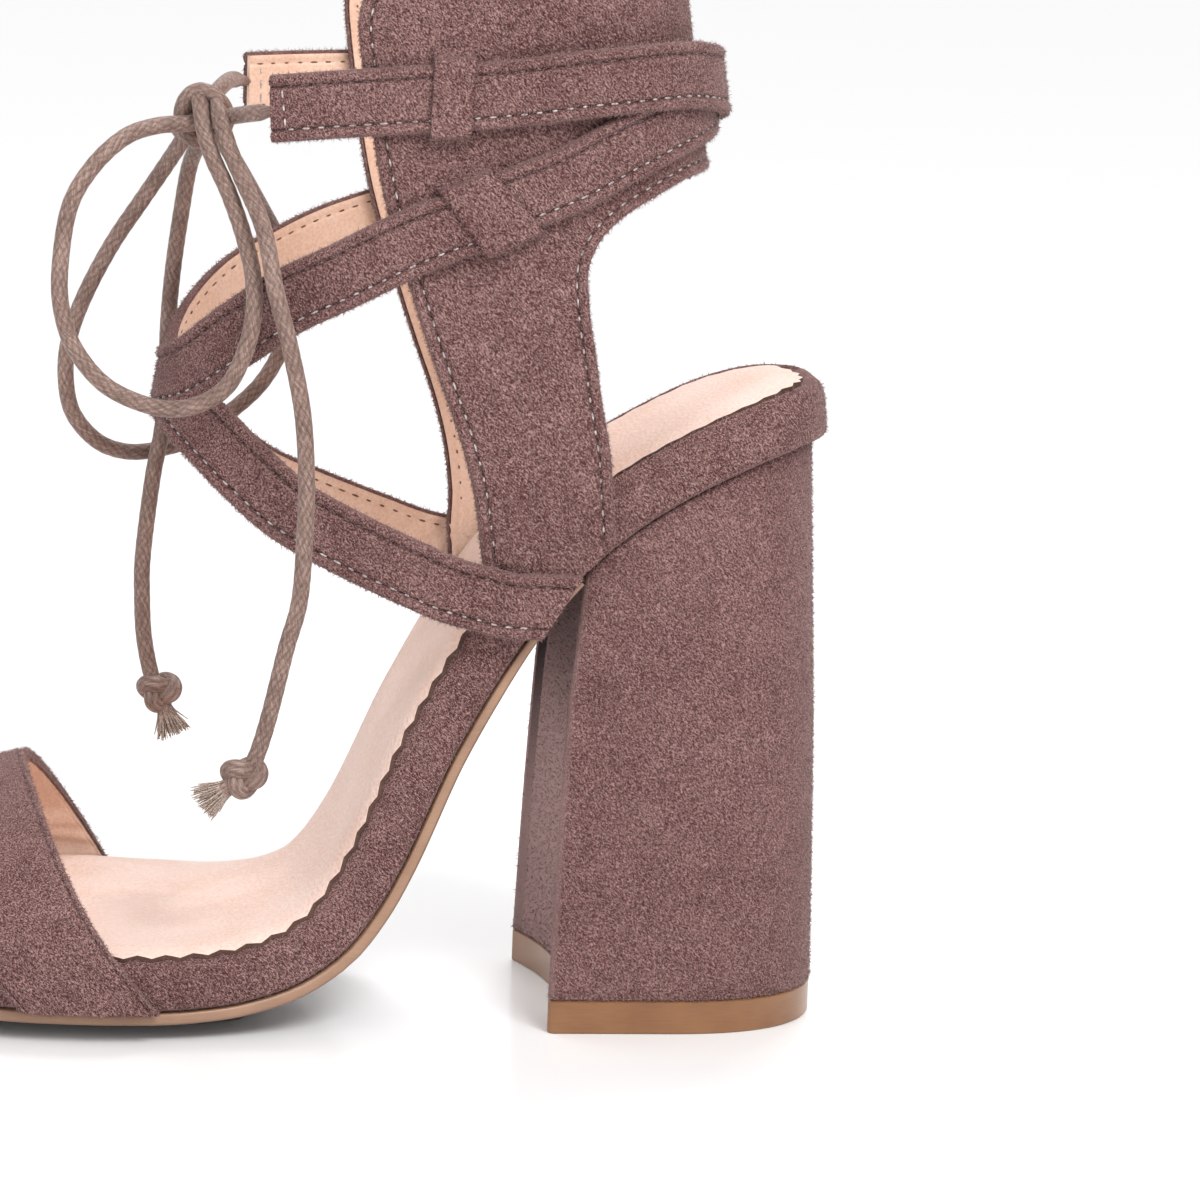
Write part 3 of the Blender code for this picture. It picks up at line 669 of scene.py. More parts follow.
def run_length(points: Array) -> Array:
    """Return the distance along a line at each of its points."""
    return np.concatenate([[0.0], np.cumsum(np.linalg.norm(np.diff(points, axis=0), axis=1))])


def spaced(points: Array, step: float) -> Array:
    """Space a line's points evenly, about one step apart.

    Args:
        points: The line's points.
        step: The distance wanted.

    Returns:
        The even points, with both ends kept.
    """
    run = run_length(points)
    goals = np.linspace(0.0, run[-1], max(int(round(run[-1] / step)), 2) + 1)
    return np.stack([np.interp(goals, run, points[:, k]) for k in range(points.shape[1])], axis=1)


def smooth_path(knots: Sequence[Sequence[float]], steps: int = 24) -> Array:
    """Draw a smooth curve through the knots.

    Args:
        knots: The points to pass.
        steps: How many points lie between two of them.

    Returns:
        The curve's points.
    """
    knots = np.array(knots, float)
    ends = np.vstack([2 * knots[0] - knots[1], knots, 2 * knots[-1] - knots[-2]])
    t = np.linspace(0.0, 1.0, steps, endpoint=False)[:, None]
    points = []
    for i in range(1, len(ends) - 2):
        a, b, c, d = ends[i - 1:i + 3]
        points.append(0.5 * (2 * b + (c - a) * t + (2 * a - 5 * b + 4 * c - d) * t ** 2
                             + (3 * b - 3 * c + d - a) * t ** 3))
    return np.vstack(points + [knots[-1:]])


def nearest(points: Array, line: Array) -> Array:
    """Return each point's distance from the nearest point of a line."""
    return np.array([np.linalg.norm(line - p, axis=1).min() for p in points])


def turned_left(outline: Array, over: int) -> Array:
    """Return the inward directions of a closed flat outline, read over so many points to both sides."""
    ahead = unit(np.roll(outline, -over, axis=0) - np.roll(outline, over, axis=0))
    return np.stack([-ahead[:, 1], ahead[:, 0]], axis=1)


def eased(share: Any) -> Array:
    """Return shares between none and one that start and end gently."""
    share = np.clip(share, 0.0, 1.0)
    return share * share * (3 - 2 * share)


def grid_points(first: Array, second: Array) -> Array:
    """Return every pair of two lists of places."""
    return np.stack([places.ravel() for places in np.meshgrid(first, second)], axis=1)


def round_about(side: Array, up: Array, angle: Array) -> Array:
    """Return the directions round a path, by its points and by angle."""
    return side[:, None] * np.cos(angle)[None, :, None] + up[:, None] * np.sin(angle)[None, :, None]


@dataclass(frozen=True)
class EdgeProfile:
    """How a sewn edge is shaped: turned over a round bead, and drawn down along the stitches."""

    rounding: float = 0.8
    bead: float = 0.22
    bead_at: float = 1.0
    bead_width: float = 0.6
    seam_at: float = 2.1
    seam_depth: float = 0.5
    seam_width: float = 0.3
    # Strength of the painted shade along the stitch groove.
    seam_shade: float = 0.6
    turned: float = 0.55
    turn_in: float = 0.12
    pale_reach: float = 0.5
    fuzz_reach: float = 0.9
    fuzz_inside: float = 0.55
    lining_share: float = 0.4
    thread_rise: tuple[float, float] = (0.12, 0.2)

    def insets(self) -> tuple[float, ...]:
        """Return distances from the edge that show the profile."""
        shares = (0.07, 0.15, 0.29, 0.48, 0.69, 0.83, 0.93, 1.0, 1.07, 1.17, 1.33, 1.62)
        return tuple(share * self.seam_at for share in shares)

    def drop(self, inset: Array) -> Array:
        """Follow the profile in from the edge.

        Args:
            inset: Distances from the edge.

        Returns:
            How far the surface lies under the layer's full height.
        """
        inset = np.asarray(inset, float)
        share = np.clip(inset / self.rounding, 0.0, 1.0)
        edge = self.rounding * (1.0 - np.sqrt(1.0 - (1.0 - share) ** 2))
        bead = self.bead * np.exp(-((inset - self.bead_at) / self.bead_width) ** 2) * share
        return edge - bead + self.seam_depth * np.exp(-((inset - self.seam_at) / self.seam_width) ** 2)

    def lining_rise(self, inset: Array) -> Array:
        """Return the lining's height, drawn out after the suede in part."""
        return self.lining_share * self.drop(inset)

    def under(self, inset: Array) -> Array:
        """Return the height of the suede's underside, which is turned over the lining's edge."""
        return np.where(np.asarray(inset) < self.turned, self.turn_in, UNDER)

    def thread(self, skin: Skin) -> float:
        """Return the height of the stitches on one face, in the drawn-down seam or on the lining."""
        outer, inner = self.thread_rise
        return WALL - self.seam_depth + outer if skin is Skin.OUTER else inner

    def marks(self, inset: Array) -> dict[str, Array]:
        """Find the point values that colour an edge and thin its nap.

        Args:
            inset: Distances from the edge.

        Returns:
            The paleness of the turned edge, the painted shade along the stitch groove and the density of loose nap.
        """
        inset = np.asarray(inset, float)
        # Paler towards the turned edge; painted shade along the stitch groove.
        return {"turned_edge": 0.5 * np.clip(1.0 - inset / self.pale_reach, 0.0, 1.0),
                "seam": self.seam_shade * np.exp(-((inset - self.seam_at) / (0.7 * self.seam_width)) ** 2),
                "fuzz": np.where(inset < self.fuzz_reach, 1.0, self.fuzz_inside)}


@dataclass
class Row:
    """A row of stitches: places, directions along the row, and directions out of the surface."""

    places: Array
    along: Array
    out: Array

    @classmethod
    def on_line(cls, points: Array, out: Array, pitch: float) -> "Row":
        """Space stitches along a line.

        Args:
            points: The line's points.
            out: The surface's outward direction at each point.
            pitch: Distance between stitches.

        Returns:
            The row.
        """
        run = run_length(points)
        goals = np.arange(pitch / 2, run[-1], pitch)
        pick = [np.stack([np.interp(goals, run, values[:, k]) for k in range(3)], axis=1)
                for values in (points, out, np.gradient(points, axis=0))]
        return cls(pick[0], unit(pick[2]), unit(pick[1]))


def put(name: str, data: bpy.types.ID) -> bpy.types.Object:
    """Put a mesh, a light or a camera into the scene.

    Args:
        name: The new object's name.
        data: What it holds.

    Returns:
        The object.
    """
    obj = bpy.data.objects.new(name, data)
    bpy.context.scene.collection.objects.link(obj)
    return obj


@dataclass
class Workshop:
    """Turns shapes into dressed pieces on the shoe's one body, moved from the last's frame to the row's."""

    shift: Array
    body: str = "root"

    @classmethod
    def at_lift(cls, lift_top: float) -> "Workshop":
        """Find the last's frame from the lift under the heel, whose back is read at a height."""
        low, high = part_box("top_lift")
        return cls(np.array((high.x / MM - float(HEEL_SECTIONS("back", lift_top)), (low.y + high.y) / 2 / MM, 0.0)))

    def metres(self, points: Any) -> Array:
        """Return millimetre points in the row's metres."""
        return (np.asarray(points, float) + self.shift) * MM

    def adopt(self, mesh: bpy.types.Mesh, replaces: Sequence[str] = ()) -> bpy.types.Object:
        """Let a finished mesh ride on the body as a piece of its name.

        Args:
            mesh: The mesh.
            replaces: The solids that it stands for.

        Returns:
            The piece.
        """
        obj = put(mesh.name, mesh)
        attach(obj, self.body)
        if replaces:
            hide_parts(*replaces)
        LOG.info("%s: %d faces", obj.name, len(obj.data.polygons))
        return obj

    def piece(self, name: str, shape: Shape, finish: Finish, replaces: Sequence[str] = (),
              sharp: float = 50.0, edge: Finish | None = None) -> bpy.types.Object:
        """Make one piece of a shape.

        Args:
            name: The piece's name.
            shape: Its shape in millimetres.
            finish: Its finish.
            replaces: The solids that it stands for.
            sharp: Edges that turn more than these degrees stay crisp.
            edge: The finish of its cut edge, where that differs.

        Returns:
            The piece.
        """
        mesh = bpy.data.meshes.new(name)
        mesh.from_pydata(self.metres(shape.points).tolist(), [], shape.faces)
        for key, values in shape.marks.items():
            mesh.attributes.new(key, "FLOAT", "POINT").data.foreach_set("value", values.astype(np.float32))
        form = bmesh.new()
        form.from_mesh(mesh)
        bmesh.ops.recalc_face_normals(form, faces=form.faces)
        form.to_mesh(mesh)
        form.free()
        mesh.shade_smooth()
        mesh.set_sharp_from_angle(angle=math.radians(sharp))
        mesh.materials.append(finish.material())
        if edge is not None and shape.first_rim is not None:
            mesh.materials.append(edge.material())
            rim = np.arange(len(mesh.polygons)) >= shape.first_rim
            mesh.polygons.foreach_set("material_index", rim.astype(np.int32))
        return self.adopt(mesh, replaces)


# Repeats

class NodeTree(Nodes):
    """A geometry node tree with named inputs."""

    def __init__(self, name: str, inputs: dict[str, str]) -> None:
        """Start a tree with named inputs between a geometry input and output.

        Args:
            name: The tree's name.
            inputs: The inputs' kinds by their labels.
        """
        super().__init__(bpy.data.node_groups.new(name, "GeometryNodeTree"))
        face = self.tree.interface
        face.new_socket("Geometry", in_out="INPUT", socket_type="NodeSocketGeometry")
        self.keys = {label: face.new_socket(label, in_out="INPUT", socket_type="NodeSocket" + kind).identifier
                     for label, kind in inputs.items()}
        face.new_socket("Geometry", in_out="OUTPUT", socket_type="NodeSocketGeometry")
        self.start = self.tree.nodes.new("NodeGroupInput")
        self.end = self.tree.nodes.new("NodeGroupOutput")

    def given(self, label: str) -> Socket:
        """Return one of the tree's inputs."""
        return self.start.outputs[label]

    def mark(self, name: str, kind: str = "FLOAT_VECTOR") -> Socket:
        """Return a named value of the points."""
        return self.add("GeometryNodeInputNamedAttribute", {"Name": name}, data_type=kind)

    def finish(self, instances: Socket) -> None:
        """End the tree in real, smooth geometry with its material.

        Args:
            instances: What the tree has set out.
        """
        real = self.add("GeometryNodeRealizeInstances", {"Geometry": instances})
        smooth = self.add("GeometryNodeSetShadeSmooth", {"Geometry": real})
        dressed = self.add("GeometryNodeSetMaterial", {"Geometry": smooth, "Material": self.given("Material")})
        self.feed(self.end.inputs[0], dressed)

    def grow(self, shop: Workshop, name: str, source: bpy.types.Mesh, values: dict[str, float], finish: Finish) -> None:
        """Run the tree on a mesh and keep the result as a plain piece.

        Args:
            shop: The workshop that keeps the piece.
            name: The piece's name.
            source: The mesh that the tree reads.
            values: The tree's sizes by label.
            finish: The piece's finish.
        """
        base = put(name + "_source", source)
        modifier = base.modifiers.new("repeat", "NODES")
        modifier.node_group = self.tree
        for label, value in {**values, "Material": finish.material()}.items():
            modifier[self.keys[label]] = value
        depsgraph = bpy.context.evaluated_depsgraph_get()
        mesh = bpy.data.meshes.new_from_object(base.evaluated_get(depsgraph), depsgraph=depsgraph)
        used = ("thread_along", "thread_out", "thread_share", "fuzz", "turned_edge", "seam")
        for extra in [a.name for a in mesh.attributes if a.name in used]:
            mesh.attributes.remove(mesh.attributes[extra])
        bpy.data.objects.remove(base, do_unlink=True)
        mesh.name = name
        shop.adopt(mesh)


@dataclass
class Stitcher:
    """Sews rows of short thread stitches."""

    shop: Workshop
    length: float = 1.7
    width: float = 0.42
    height: float = 0.32
    shortest: float = 0.55
    seed: int = 5

    def __post_init__(self) -> None:
        """Build the tree that sets one stitch on every place."""
        tree = NodeTree("stitch_rows", {"Length": "Float", "Width": "Float", "Height": "Float", "Material": "Material"})
        bead = tree.add("GeometryNodeMeshUVSphere", {"Segments": 6, "Rings": 5, "Radius": 0.5})
        turn = tree.add("FunctionNodeAxesToRotation", {
            "Primary Axis": tree.mark("thread_along"), "Secondary Axis": tree.mark("thread_out")},
            primary_axis="X", secondary_axis="Z")
        shown = tree.math("MULTIPLY", tree.given("Length"), tree.mark("thread_share", "FLOAT"))
        size = tree.add("ShaderNodeCombineXYZ", {"X": shown, "Y": tree.given("Width"), "Z": tree.given("Height")})
        tree.finish(tree.add("GeometryNodeInstanceOnPoints", {
            "Points": tree.given("Geometry"), "Instance": bead, "Rotation": turn, "Scale": size}))
        self.tree = tree

    def sew(self, name: str, rows: Sequence[Row], thread: ThreadFinish, share: float = 1.0) -> None:
        """Sew rows as one piece.

        Args:
            name: The piece's name.
            rows: The rows.
            thread: The thread's finish.
            share: The length of a stitch, against the stitcher's own.
        """
        mesh = bpy.data.meshes.new(name + "_places")
        places = np.vstack([r.places for r in rows])
        mesh.from_pydata(self.shop.metres(places).tolist(), [], [])
        shares = np.random.default_rng(self.seed).uniform(self.shortest, 1.0, len(places))
        mesh.attributes.new("thread_share", "FLOAT", "POINT").data.foreach_set("value", shares.astype(np.float32))
        for key, values in (("thread_along", [r.along for r in rows]), ("thread_out", [r.out for r in rows])):
            data = mesh.attributes.new(key, "FLOAT_VECTOR", "POINT").data
            data.foreach_set("vector", np.vstack(values).astype(np.float32).ravel())
        self.tree.grow(self.shop, name, mesh, {
            "Length": self.length * share * MM, "Width": self.width * MM, "Height": self.height * MM}, thread)


@dataclass
class NapBrush:
    """Makes suede pieces and raises short loose fibres on them, thickest along their edges."""

    shop: Workshop
    per_mm2: float = 4.4
    length: float = 0.85
    vary: tuple[float, float] = (0.45, 1.25)
    width: float = 0.15
    lift: float = 0.5
    stray: tuple[Triple, Triple] = ((-1.0, -1.0, -1.3), (1.0, 1.0, 0.7))
    seed: int = 7

    def __post_init__(self) -> None:
        """Build the tree that scatters fibres over faces."""
        tree = NodeTree("loose_nap", {"Density": "Float", "Length": "Float", "Width": "Float", "Lift": "Float",
                                      "Seed": "Int", "Material": "Material"})
        seed, width = tree.given("Seed"), tree.given("Width")
        density = tree.math("MULTIPLY", tree.given("Density"), tree.mark("fuzz", "FLOAT"))
        points = tree.add("GeometryNodeDistributePointsOnFaces", {
            "Mesh": tree.given("Geometry"), "Density": density, "Seed": seed})
        normal = points.node.outputs["Normal"]
        stray = tree.add("FunctionNodeRandomValue", {"Min": self.stray[0], "Max": self.stray[1], "Seed": seed},
                         data_type="FLOAT_VECTOR")
        rise = tree.add("ShaderNodeVectorMath", {0: stray, 1: normal}, "Value", operation="DOT_PRODUCT")
        want = tree.math("SUBTRACT", tree.given("Lift"), rise)
        lifted = tree.add("ShaderNodeVectorMath", {0: normal, "Scale": want}, operation="SCALE")
        way = tree.add("ShaderNodeVectorMath", {0: stray, 1: lifted}, operation="ADD")
        turn = tree.add("FunctionNodeAlignRotationToVector", {"Vector": way}, axis="Z")
        fibre = tree.add("GeometryNodeMeshCone", {
            "Vertices": 3, "Radius Top": 0.0, "Radius Bottom": 0.5, "Depth": 1.0}, fill_type="NONE")
        vary = tree.add("FunctionNodeRandomValue", {2: self.vary[0], 3: self.vary[1], "Seed": seed}, 1,
                        data_type="FLOAT")
        long = tree.math("MULTIPLY", tree.given("Length"), vary)
        size = tree.add("ShaderNodeCombineXYZ", {"X": width, "Y": width, "Z": long})
        tree.finish(tree.add("GeometryNodeInstanceOnPoints", {
            "Points": points, "Instance": fibre, "Rotation": turn, "Scale": size}))
        self.tree = tree

    def cover(self, name: str, shape: Shape, solid: str, finish: SuedeFinish = SUEDE, sharp: float = 50.0) -> None:
        """Make one suede piece and raise its nap.

        Args:
            name: The piece's name.
            shape: Its shape in millimetres.
            solid: The solid that it stands for.
            finish: Its suede.
            sharp: Edges that turn more than these degrees stay crisp.
        """
        suede = self.shop.piece(name, shape, finish, [solid], sharp)
        self.tree.grow(self.shop, name + "_nap", suede.data.copy(), {
            "Density": self.per_mm2 / MM ** 2, "Length": self.length * MM, "Width": self.width * MM,
            "Lift": self.lift, "Seed": self.seed}, NAP_FIBRE)


# Sole

def bed_point(reach: Array, y: Array, up: Array) -> Array:
    """Lay points on the foot bed.

    Args:
        reach: Distances from the heel's back.
        y: Side places.
        up: Heights along the bed's normal.

    Returns:
        The points.
    """
    small = 0.2
    rise = (FOOT_BED("height", reach + small) - FOOT_BED("height", reach - small)) / (2 * small)
    size = np.hypot(1.0, rise)
    x = -reach + rise / size * up
    return np.stack(np.broadcast_arrays(x, y, FOOT_BED("height", reach) + up / size), axis=-1)


@dataclass
class Sole:
    """Outsole, wrapped insole, pinked sock, covered heel and top lift."""

    brush: NapBrush
    heel_end: float = 3.0
    toe_end: float = 201.0
    heel_round: float = 24.0
    toe_round: float = 36.0
    end_power: float = 2.15
    insole_thick: float = 9.2
    top_round: float = 3.2
    foot_round: float = 1.2
    wall_bulge: float = 0.25
    roll_height: float = 1.05
    roll_at: float = 1.75
    roll_width: float = 0.85
    seat_end: tuple[float, float] = (44.0, 68.0)
    sock_inset: float = 1.7
    sock_rim: float = 0.9
    sock_slope: float = 5.0
    sock_grid: float = 3.0
    sock_wave: float = 0.08
    seat_inset: float = 4.0
    sock_thick: float = 1.0
    edge_thick: float = 0.8
    pink_pitch: float = 4.95
    pink_depth: float = 0.75
    pink_points: int = 8
    outsole_inset: float = 0.6
    edge_taper: tuple[Triple, Triple] = ((54.0, 72.0, 92.0), (1.0, 1.9, 2.3))
    outsole_bevel: float = 1.2
    outsole_back: float = 55.4
    tread_share: float = 0.62
    lift_height: float = 6.0
    breast_depth: float = 5.0
    heel_corner: float = 1.4
    heel_flat_share: float = 0.42
    heel_back_power: float = 2.4
    seat_gap: float = 0.45
    waist: float = 60.0
    seat_height: float = 90.0
    nap_density: float = 0.55
    breast_points: int = 32
    # How far the breast is painted paler: painted sheen standing in for light that does not reach it.
    breast_painted_sheen: float = 0.65
    # Width of the breast's painted shadow line, and the heights over which it fades towards the bottom.
    seam_width: float = 3.4
    seam_fades: tuple[float, float] = (22.0, 62.0)
    step: float = 1.8
    end_steps: int = 18
    end_tip: float = 0.0008

    def half_width(self, reach: Array, inset: float) -> Array:
        """Find the sole's half width, with both ends rounded.

        Args:
            reach: Distances from the heel's back.
            inset: How far inside the outline.

        Returns:
            The half widths.
        """
        heel = np.clip((reach - self.heel_end - inset) / (self.heel_round - inset), 0.0, 1.0)
        toe = np.clip((self.toe_end - inset - reach) / (self.toe_round - inset), 0.0, 1.0)
        rounding = (1.0 - (1.0 - np.minimum(heel, toe)) ** self.end_power) ** (1.0 / self.end_power)
        return (SOLE_OUTLINE("half", reach) - inset) * rounding

    def stations(self, start: float, end: float, round_start: bool) -> Array:
        """Set out reaches, crowded at rounded ends and even along the foot bed.

        Args:
            start: The first reach.
            end: The last reach.
            round_start: Whether the start is rounded too.

        Returns:
            The reaches.
        """
        ends = 1.0 - np.cos(np.pi / 2 * np.arange(self.end_steps) / self.end_steps)
        ends[0] = self.end_tip
        dense = np.linspace(start + self.heel_round * round_start, end - self.toe_round, 900)
        middle = spaced(np.stack([dense, FOOT_BED("height", dense)], axis=1), self.step)[:, 0]
        heel = start + self.heel_round * ends if round_start else ends[:0]
        return np.concatenate([heel, middle, (end - self.toe_round * ends)[::-1]])

    def rim_drop(self, inset: Array) -> Array:
        """Return how far the insole's rounded rim lies under its top."""
        near = np.clip(self.top_round - inset, 0.0, self.top_round)
        return self.top_round - np.sqrt(self.top_round ** 2 - near ** 2)

    def seat(self, reach: Array) -> Array:
        """Return one on the heel seat and none from the arch on."""
        return eased((self.seat_end[1] - reach) / (self.seat_end[1] - self.seat_end[0]))

    def roll(self, reach: Array, inset: Array) -> Array:
        """Return how far the turned rim of the heel seat stands over the foot bed."""
        return self.roll_height * self.seat(reach) * np.exp(-((inset - self.roll_at) / self.roll_width) ** 2)

    def rings(self, reach: Array, side: list[tuple[Any, Any]]) -> Array:
        """Set one side's section on the foot bed and mirror it.

        Args:
            reach: Where the sections stand.
            side: Places out from the middle and up from the bed, from the top to the underside.

        Returns:
            Points by section and by place on it.
        """
        ring = side + [(-across, up) for across, up in reversed(side)]
        middle = SOLE_OUTLINE("middle", reach)
        return np.stack([bed_point(reach, middle + across, up * np.ones_like(reach)) for across, up in ring], axis=1)

    def wrapped_insole(self) -> Shape:
        """Shape the insole board, with its suede drawn over a round rim.

        Returns:
            The wrapped insole.
        """
        reach = self.stations(self.heel_end, self.toe_end, True)
        half = self.half_width(reach, 0.0)
        drop = self.rim_drop(np.minimum(reach - self.heel_end, self.toe_end - reach))
        top = np.minimum(self.top_round, 0.8 * half)
        foot = np.minimum(self.foot_round, 0.4 * half)
        side = []
        for angle in np.radians(np.linspace(90, 0, 17)):
            up = -drop - (top - top * math.sin(angle)) * (1 - drop / self.insole_thick)
            inset = np.minimum(top * (1 - math.cos(angle)), reach - self.heel_end)
            side.append((half - top + top * math.cos(angle), up + self.roll(reach, inset)))
        rim, low = side[-1][1], -self.insole_thick + foot
        bulge = self.wall_bulge * np.minimum(half / 9.0, 1.0)
        for share in (0.3, 0.6, 0.85):
            side.append((half + bulge * math.sin(math.pi * share), rim * (1 - share) + low * share))
        for angle in np.radians((0, 35, 90)):
            side.append((half - foot + foot * math.cos(angle), low - foot * math.sin(angle)))
        points = self.rings(reach, side)
        fuzz = np.full(points.shape[:2], self.nap_density)
        fuzz[:, [0, len(side) - 1, len(side), -1]] = 0.0
        return loft(points, {"turned_edge": 0 * fuzz, "fuzz": fuzz})

    def sock(self) -> Shape:
        """Shape the thin sock with its pinked edge, cut flat and laid on the foot bed.

        Returns:
            The sock.
        """
        dense = np.linspace(0.0, 204.0, 1200)
        flat = run_length(np.stack([dense, FOOT_BED("height", dense)], axis=1))
        reach = self.stations(self.heel_end + self.seat_inset, self.toe_end - self.sock_inset, True)
        half = self.half_width(reach, self.sock_inset + (self.seat_inset - self.sock_inset) * self.seat(reach))
        along, middle = np.interp(reach, dense, flat), SOLE_OUTLINE("middle", reach)
        edge = np.concatenate([np.stack([along, middle - half], 1), np.stack([along, middle + half], 1)[::-1]])
        edge = np.vstack([edge, edge[:1]])
        teeth = int(round(run_length(edge)[-1] / self.pink_pitch))
        edge = spaced(edge, run_length(edge)[-1] / (teeth * self.pink_points))[:-1]
        inward = turned_left(edge, 2)
        wave = np.abs((np.arange(len(edge)) % self.pink_points) / (self.pink_points / 2) - 1.0) - 0.5
        cut = edge + inward * (self.pink_depth * wave)[:, None]
        inner = edge + inward * (0.9 * self.pink_depth)
        grid = grid_points(np.arange(0.0, flat[-1], self.sock_grid), np.arange(-50.0, 60.0, self.sock_grid))
        grid = grid[nearest(grid, edge) > 2.6]
        points, faces = cut_pattern(cut, np.vstack([inner, grid]))
        along, y = points[:, 0], points[:, 1]
        reach = np.interp(along, flat, dense)
        inset = self.half_width(reach, 0.0) - np.abs(y - SOLE_OUTLINE("middle", reach))
        inset = np.minimum(inset, np.minimum(reach - self.heel_end, self.toe_end - reach))
        drop = self.rim_drop(np.maximum(inset, self.sock_rim))
        own_edge = self.sock_rim + (self.seat_inset - self.sock_rim) * self.seat(reach)
        full = GAP + self.sock_thick - self.edge_thick
        rise = self.edge_thick + full * eased((inset - own_edge) / self.sock_slope)
        soft = self.sock_wave * np.sin(along / 5.1 + 0.4 * np.sin(y / 6.3)) * np.sin(y / 8.7)
        soft *= np.clip((inset - 3.0) / 6.0, 0.0, 1.0)
        return double_wall(bed_point(reach, y, 0.1 - drop), bed_point(reach, y, rise - drop + soft), faces)

    def outsole(self) -> Shape:
        """Shape the thin outsole with its trimmed edge and flat tread.

        Returns:
            The outsole.
        """
        reach = self.stations(self.outsole_back, self.toe_end - self.outsole_inset, False)
        half = self.half_width(reach, self.outsole_inset)
        top = -self.insole_thick - GAP
        edge = top - np.interp(reach, self.edge_taper[0], self.edge_taper[1])
        bevel = np.minimum(np.minimum(self.outsole_bevel, 0.3 * half), 0.6 * (top - edge))
        side = [(half - 0.25, top), (half, top - 0.25), (half, edge + bevel * 0.55),
                (half - 0.3 * bevel, edge + bevel * 0.16), (half - bevel, edge)]
        depth = top - OUTSOLE_DEPTH("depth", reach)
        side += [(half * (1 - share) + half * self.tread_share * share, edge + (depth - edge) * share ** 1.3)
                 for share in (0.35, 0.7, 1.0)]
        points = self.rings(reach, side)
        points[..., 2] = np.maximum(points[..., 2], 0.0)
        # Painted shade on the tread underside, where it nears the floor.
        tread = np.array((0, 0, 0, 0.4, 0.9, 1, 1, 1))
        return loft(points, {"tread": np.broadcast_to(np.concatenate([tread, tread[::-1]]), points.shape[:2])})

    def heel_plan(self, height: float) -> tuple[Array, Array, Array]:
        """Return the heel's outline at one height, and where its covering turns the corner and is joined.

        Args:
            height: Height over the floor.

        Returns:
            Its x and y, a value of one at the front corners, where the lip gets a painted highlight, and one at the
            breast's seams, where a painted shadow line runs.
        """
        front, back, half = (float(HEEL_SECTIONS(column, height)) for column in ("front", "back", "half"))
        corner = self.heel_corner
        edge = half - corner
        turn = np.radians(np.linspace(180, 90, 7))
        corner_x = front + corner + corner * np.cos(turn)
        corner_y = edge + corner * np.sin(turn)
        round_at = front + self.heel_flat_share * (back - front)
        bend = np.linspace(0.0, np.pi / 2, 34)
        side_x = round_at + (back - round_at) * np.sin(bend) ** (2 / self.heel_back_power)
        side_y = half * np.clip(np.cos(bend), 0.0, 1.0) ** (2 / self.heel_back_power)
        flat_x = np.linspace(front + corner, round_at, 6)[1:-1]
        x = np.concatenate([corner_x, flat_x, side_x])
        y = np.concatenate([corner_y, np.full(4, half), side_y])
        # Painted highlight along the lip of each front corner.
        lip = np.concatenate([np.sin(np.clip(np.linspace(0.05, 1.1, 7), 0, 1) * np.pi), np.zeros(38)])
        near = edge - np.array((0.3, 0.6, 0.7, 1.6, 2.6, self.seam_width, self.seam_width + 0.2, 5.0))
        across = np.concatenate([near, np.linspace(near[-1], -near[-1], 18)[1:-1], -near[::-1]])
        hollow = front + self.breast_depth * (1 - (across / edge) ** 2)
        inside = edge - np.abs(across)
        # The seams mark a painted shadow line at the breast's edges.
        seam = (inside > 0.65) & (inside < self.seam_width + 0.1)
        outline = np.concatenate([np.stack([x, -y], 1), np.stack([x, y], 1)[-2::-1], np.stack([hollow, across], 1)])
        plain = np.zeros(2 * len(x) - 1)
        return outline, np.concatenate([lip, lip[-2::-1], 0 * across]), np.concatenate([plain, seam])

    def level(self, outline: Array, height: Any, inset: float = 0.0) -> Array:
        """Return an outline drawn inward and set at a height, or at one for each point."""
        return np.insert(outline + turned_left(outline, 1) * inset, 2, height, axis=1)

    def heel(self) -> Shape:
        """Shape the suede covered block, from the lift to the insole's underside.

        Returns:
            The heel's cover.
        """
        low = self.lift_height + 0.08
        foot, lip, seam = self.heel_plan(low)
        rings = [self.level(foot, low, 0.4)]
        rings += [self.level(self.heel_plan(z)[0], z) for z in np.linspace(low + 0.35, self.waist, 28)]
        line = bed_point(np.linspace(self.heel_end, 90.0, 300), np.zeros(300), np.full(300, -self.insole_thick))
        line = line[np.argsort(line[:, 0])]
        plan = self.heel_plan(self.seat_height)[0]
        height = np.interp(plan[:, 0], line[:, 0], line[:, 2]) - GAP
        waist, top = rings[-1], self.level(plan, height)
        rings += [waist * (1 - share) + top * share for share in np.linspace(0.0, 1.0, 16)[1:]]
        rings[-1] = rings[-1] - (0.0, 0.0, self.seat_gap)
        points = np.stack(rings + [self.level(plan, height, self.seat_gap)])
        # Painted sheen over the breast and painted highlight on the corner lips.
        front = np.arange(len(lip)) >= len(lip) - self.breast_points
        painted_light = np.broadcast_to(np.where(front, self.breast_painted_sheen, 0.4 * lip), points.shape[:2])
        fuzz = np.where((lip > 0.1) | (seam > 0.5), 0.02, self.nap_density) * np.ones(points.shape[:2])
        fuzz[:2] = 1.0
        # The painted shadow line grows fainter towards the bottom.
        fade = np.clip((points[..., 2] - self.seam_fades[0]) / (self.seam_fades[1] - self.seam_fades[0]), 0.25, 1.0)
        return loft(points, {"turned_edge": painted_light, "fuzz": fuzz, "seam": seam * fade})

    def lift(self) -> Shape:
        """Return the top lift with its edges just broken."""
        levels = ((0.0, 0.3), (0.25, 0.0), (self.lift_height - 0.25, 0.0), (self.lift_height, 0.3))
        return loft(np.stack([self.level(self.heel_plan(self.lift_height + GAP)[0], *level) for level in levels]))

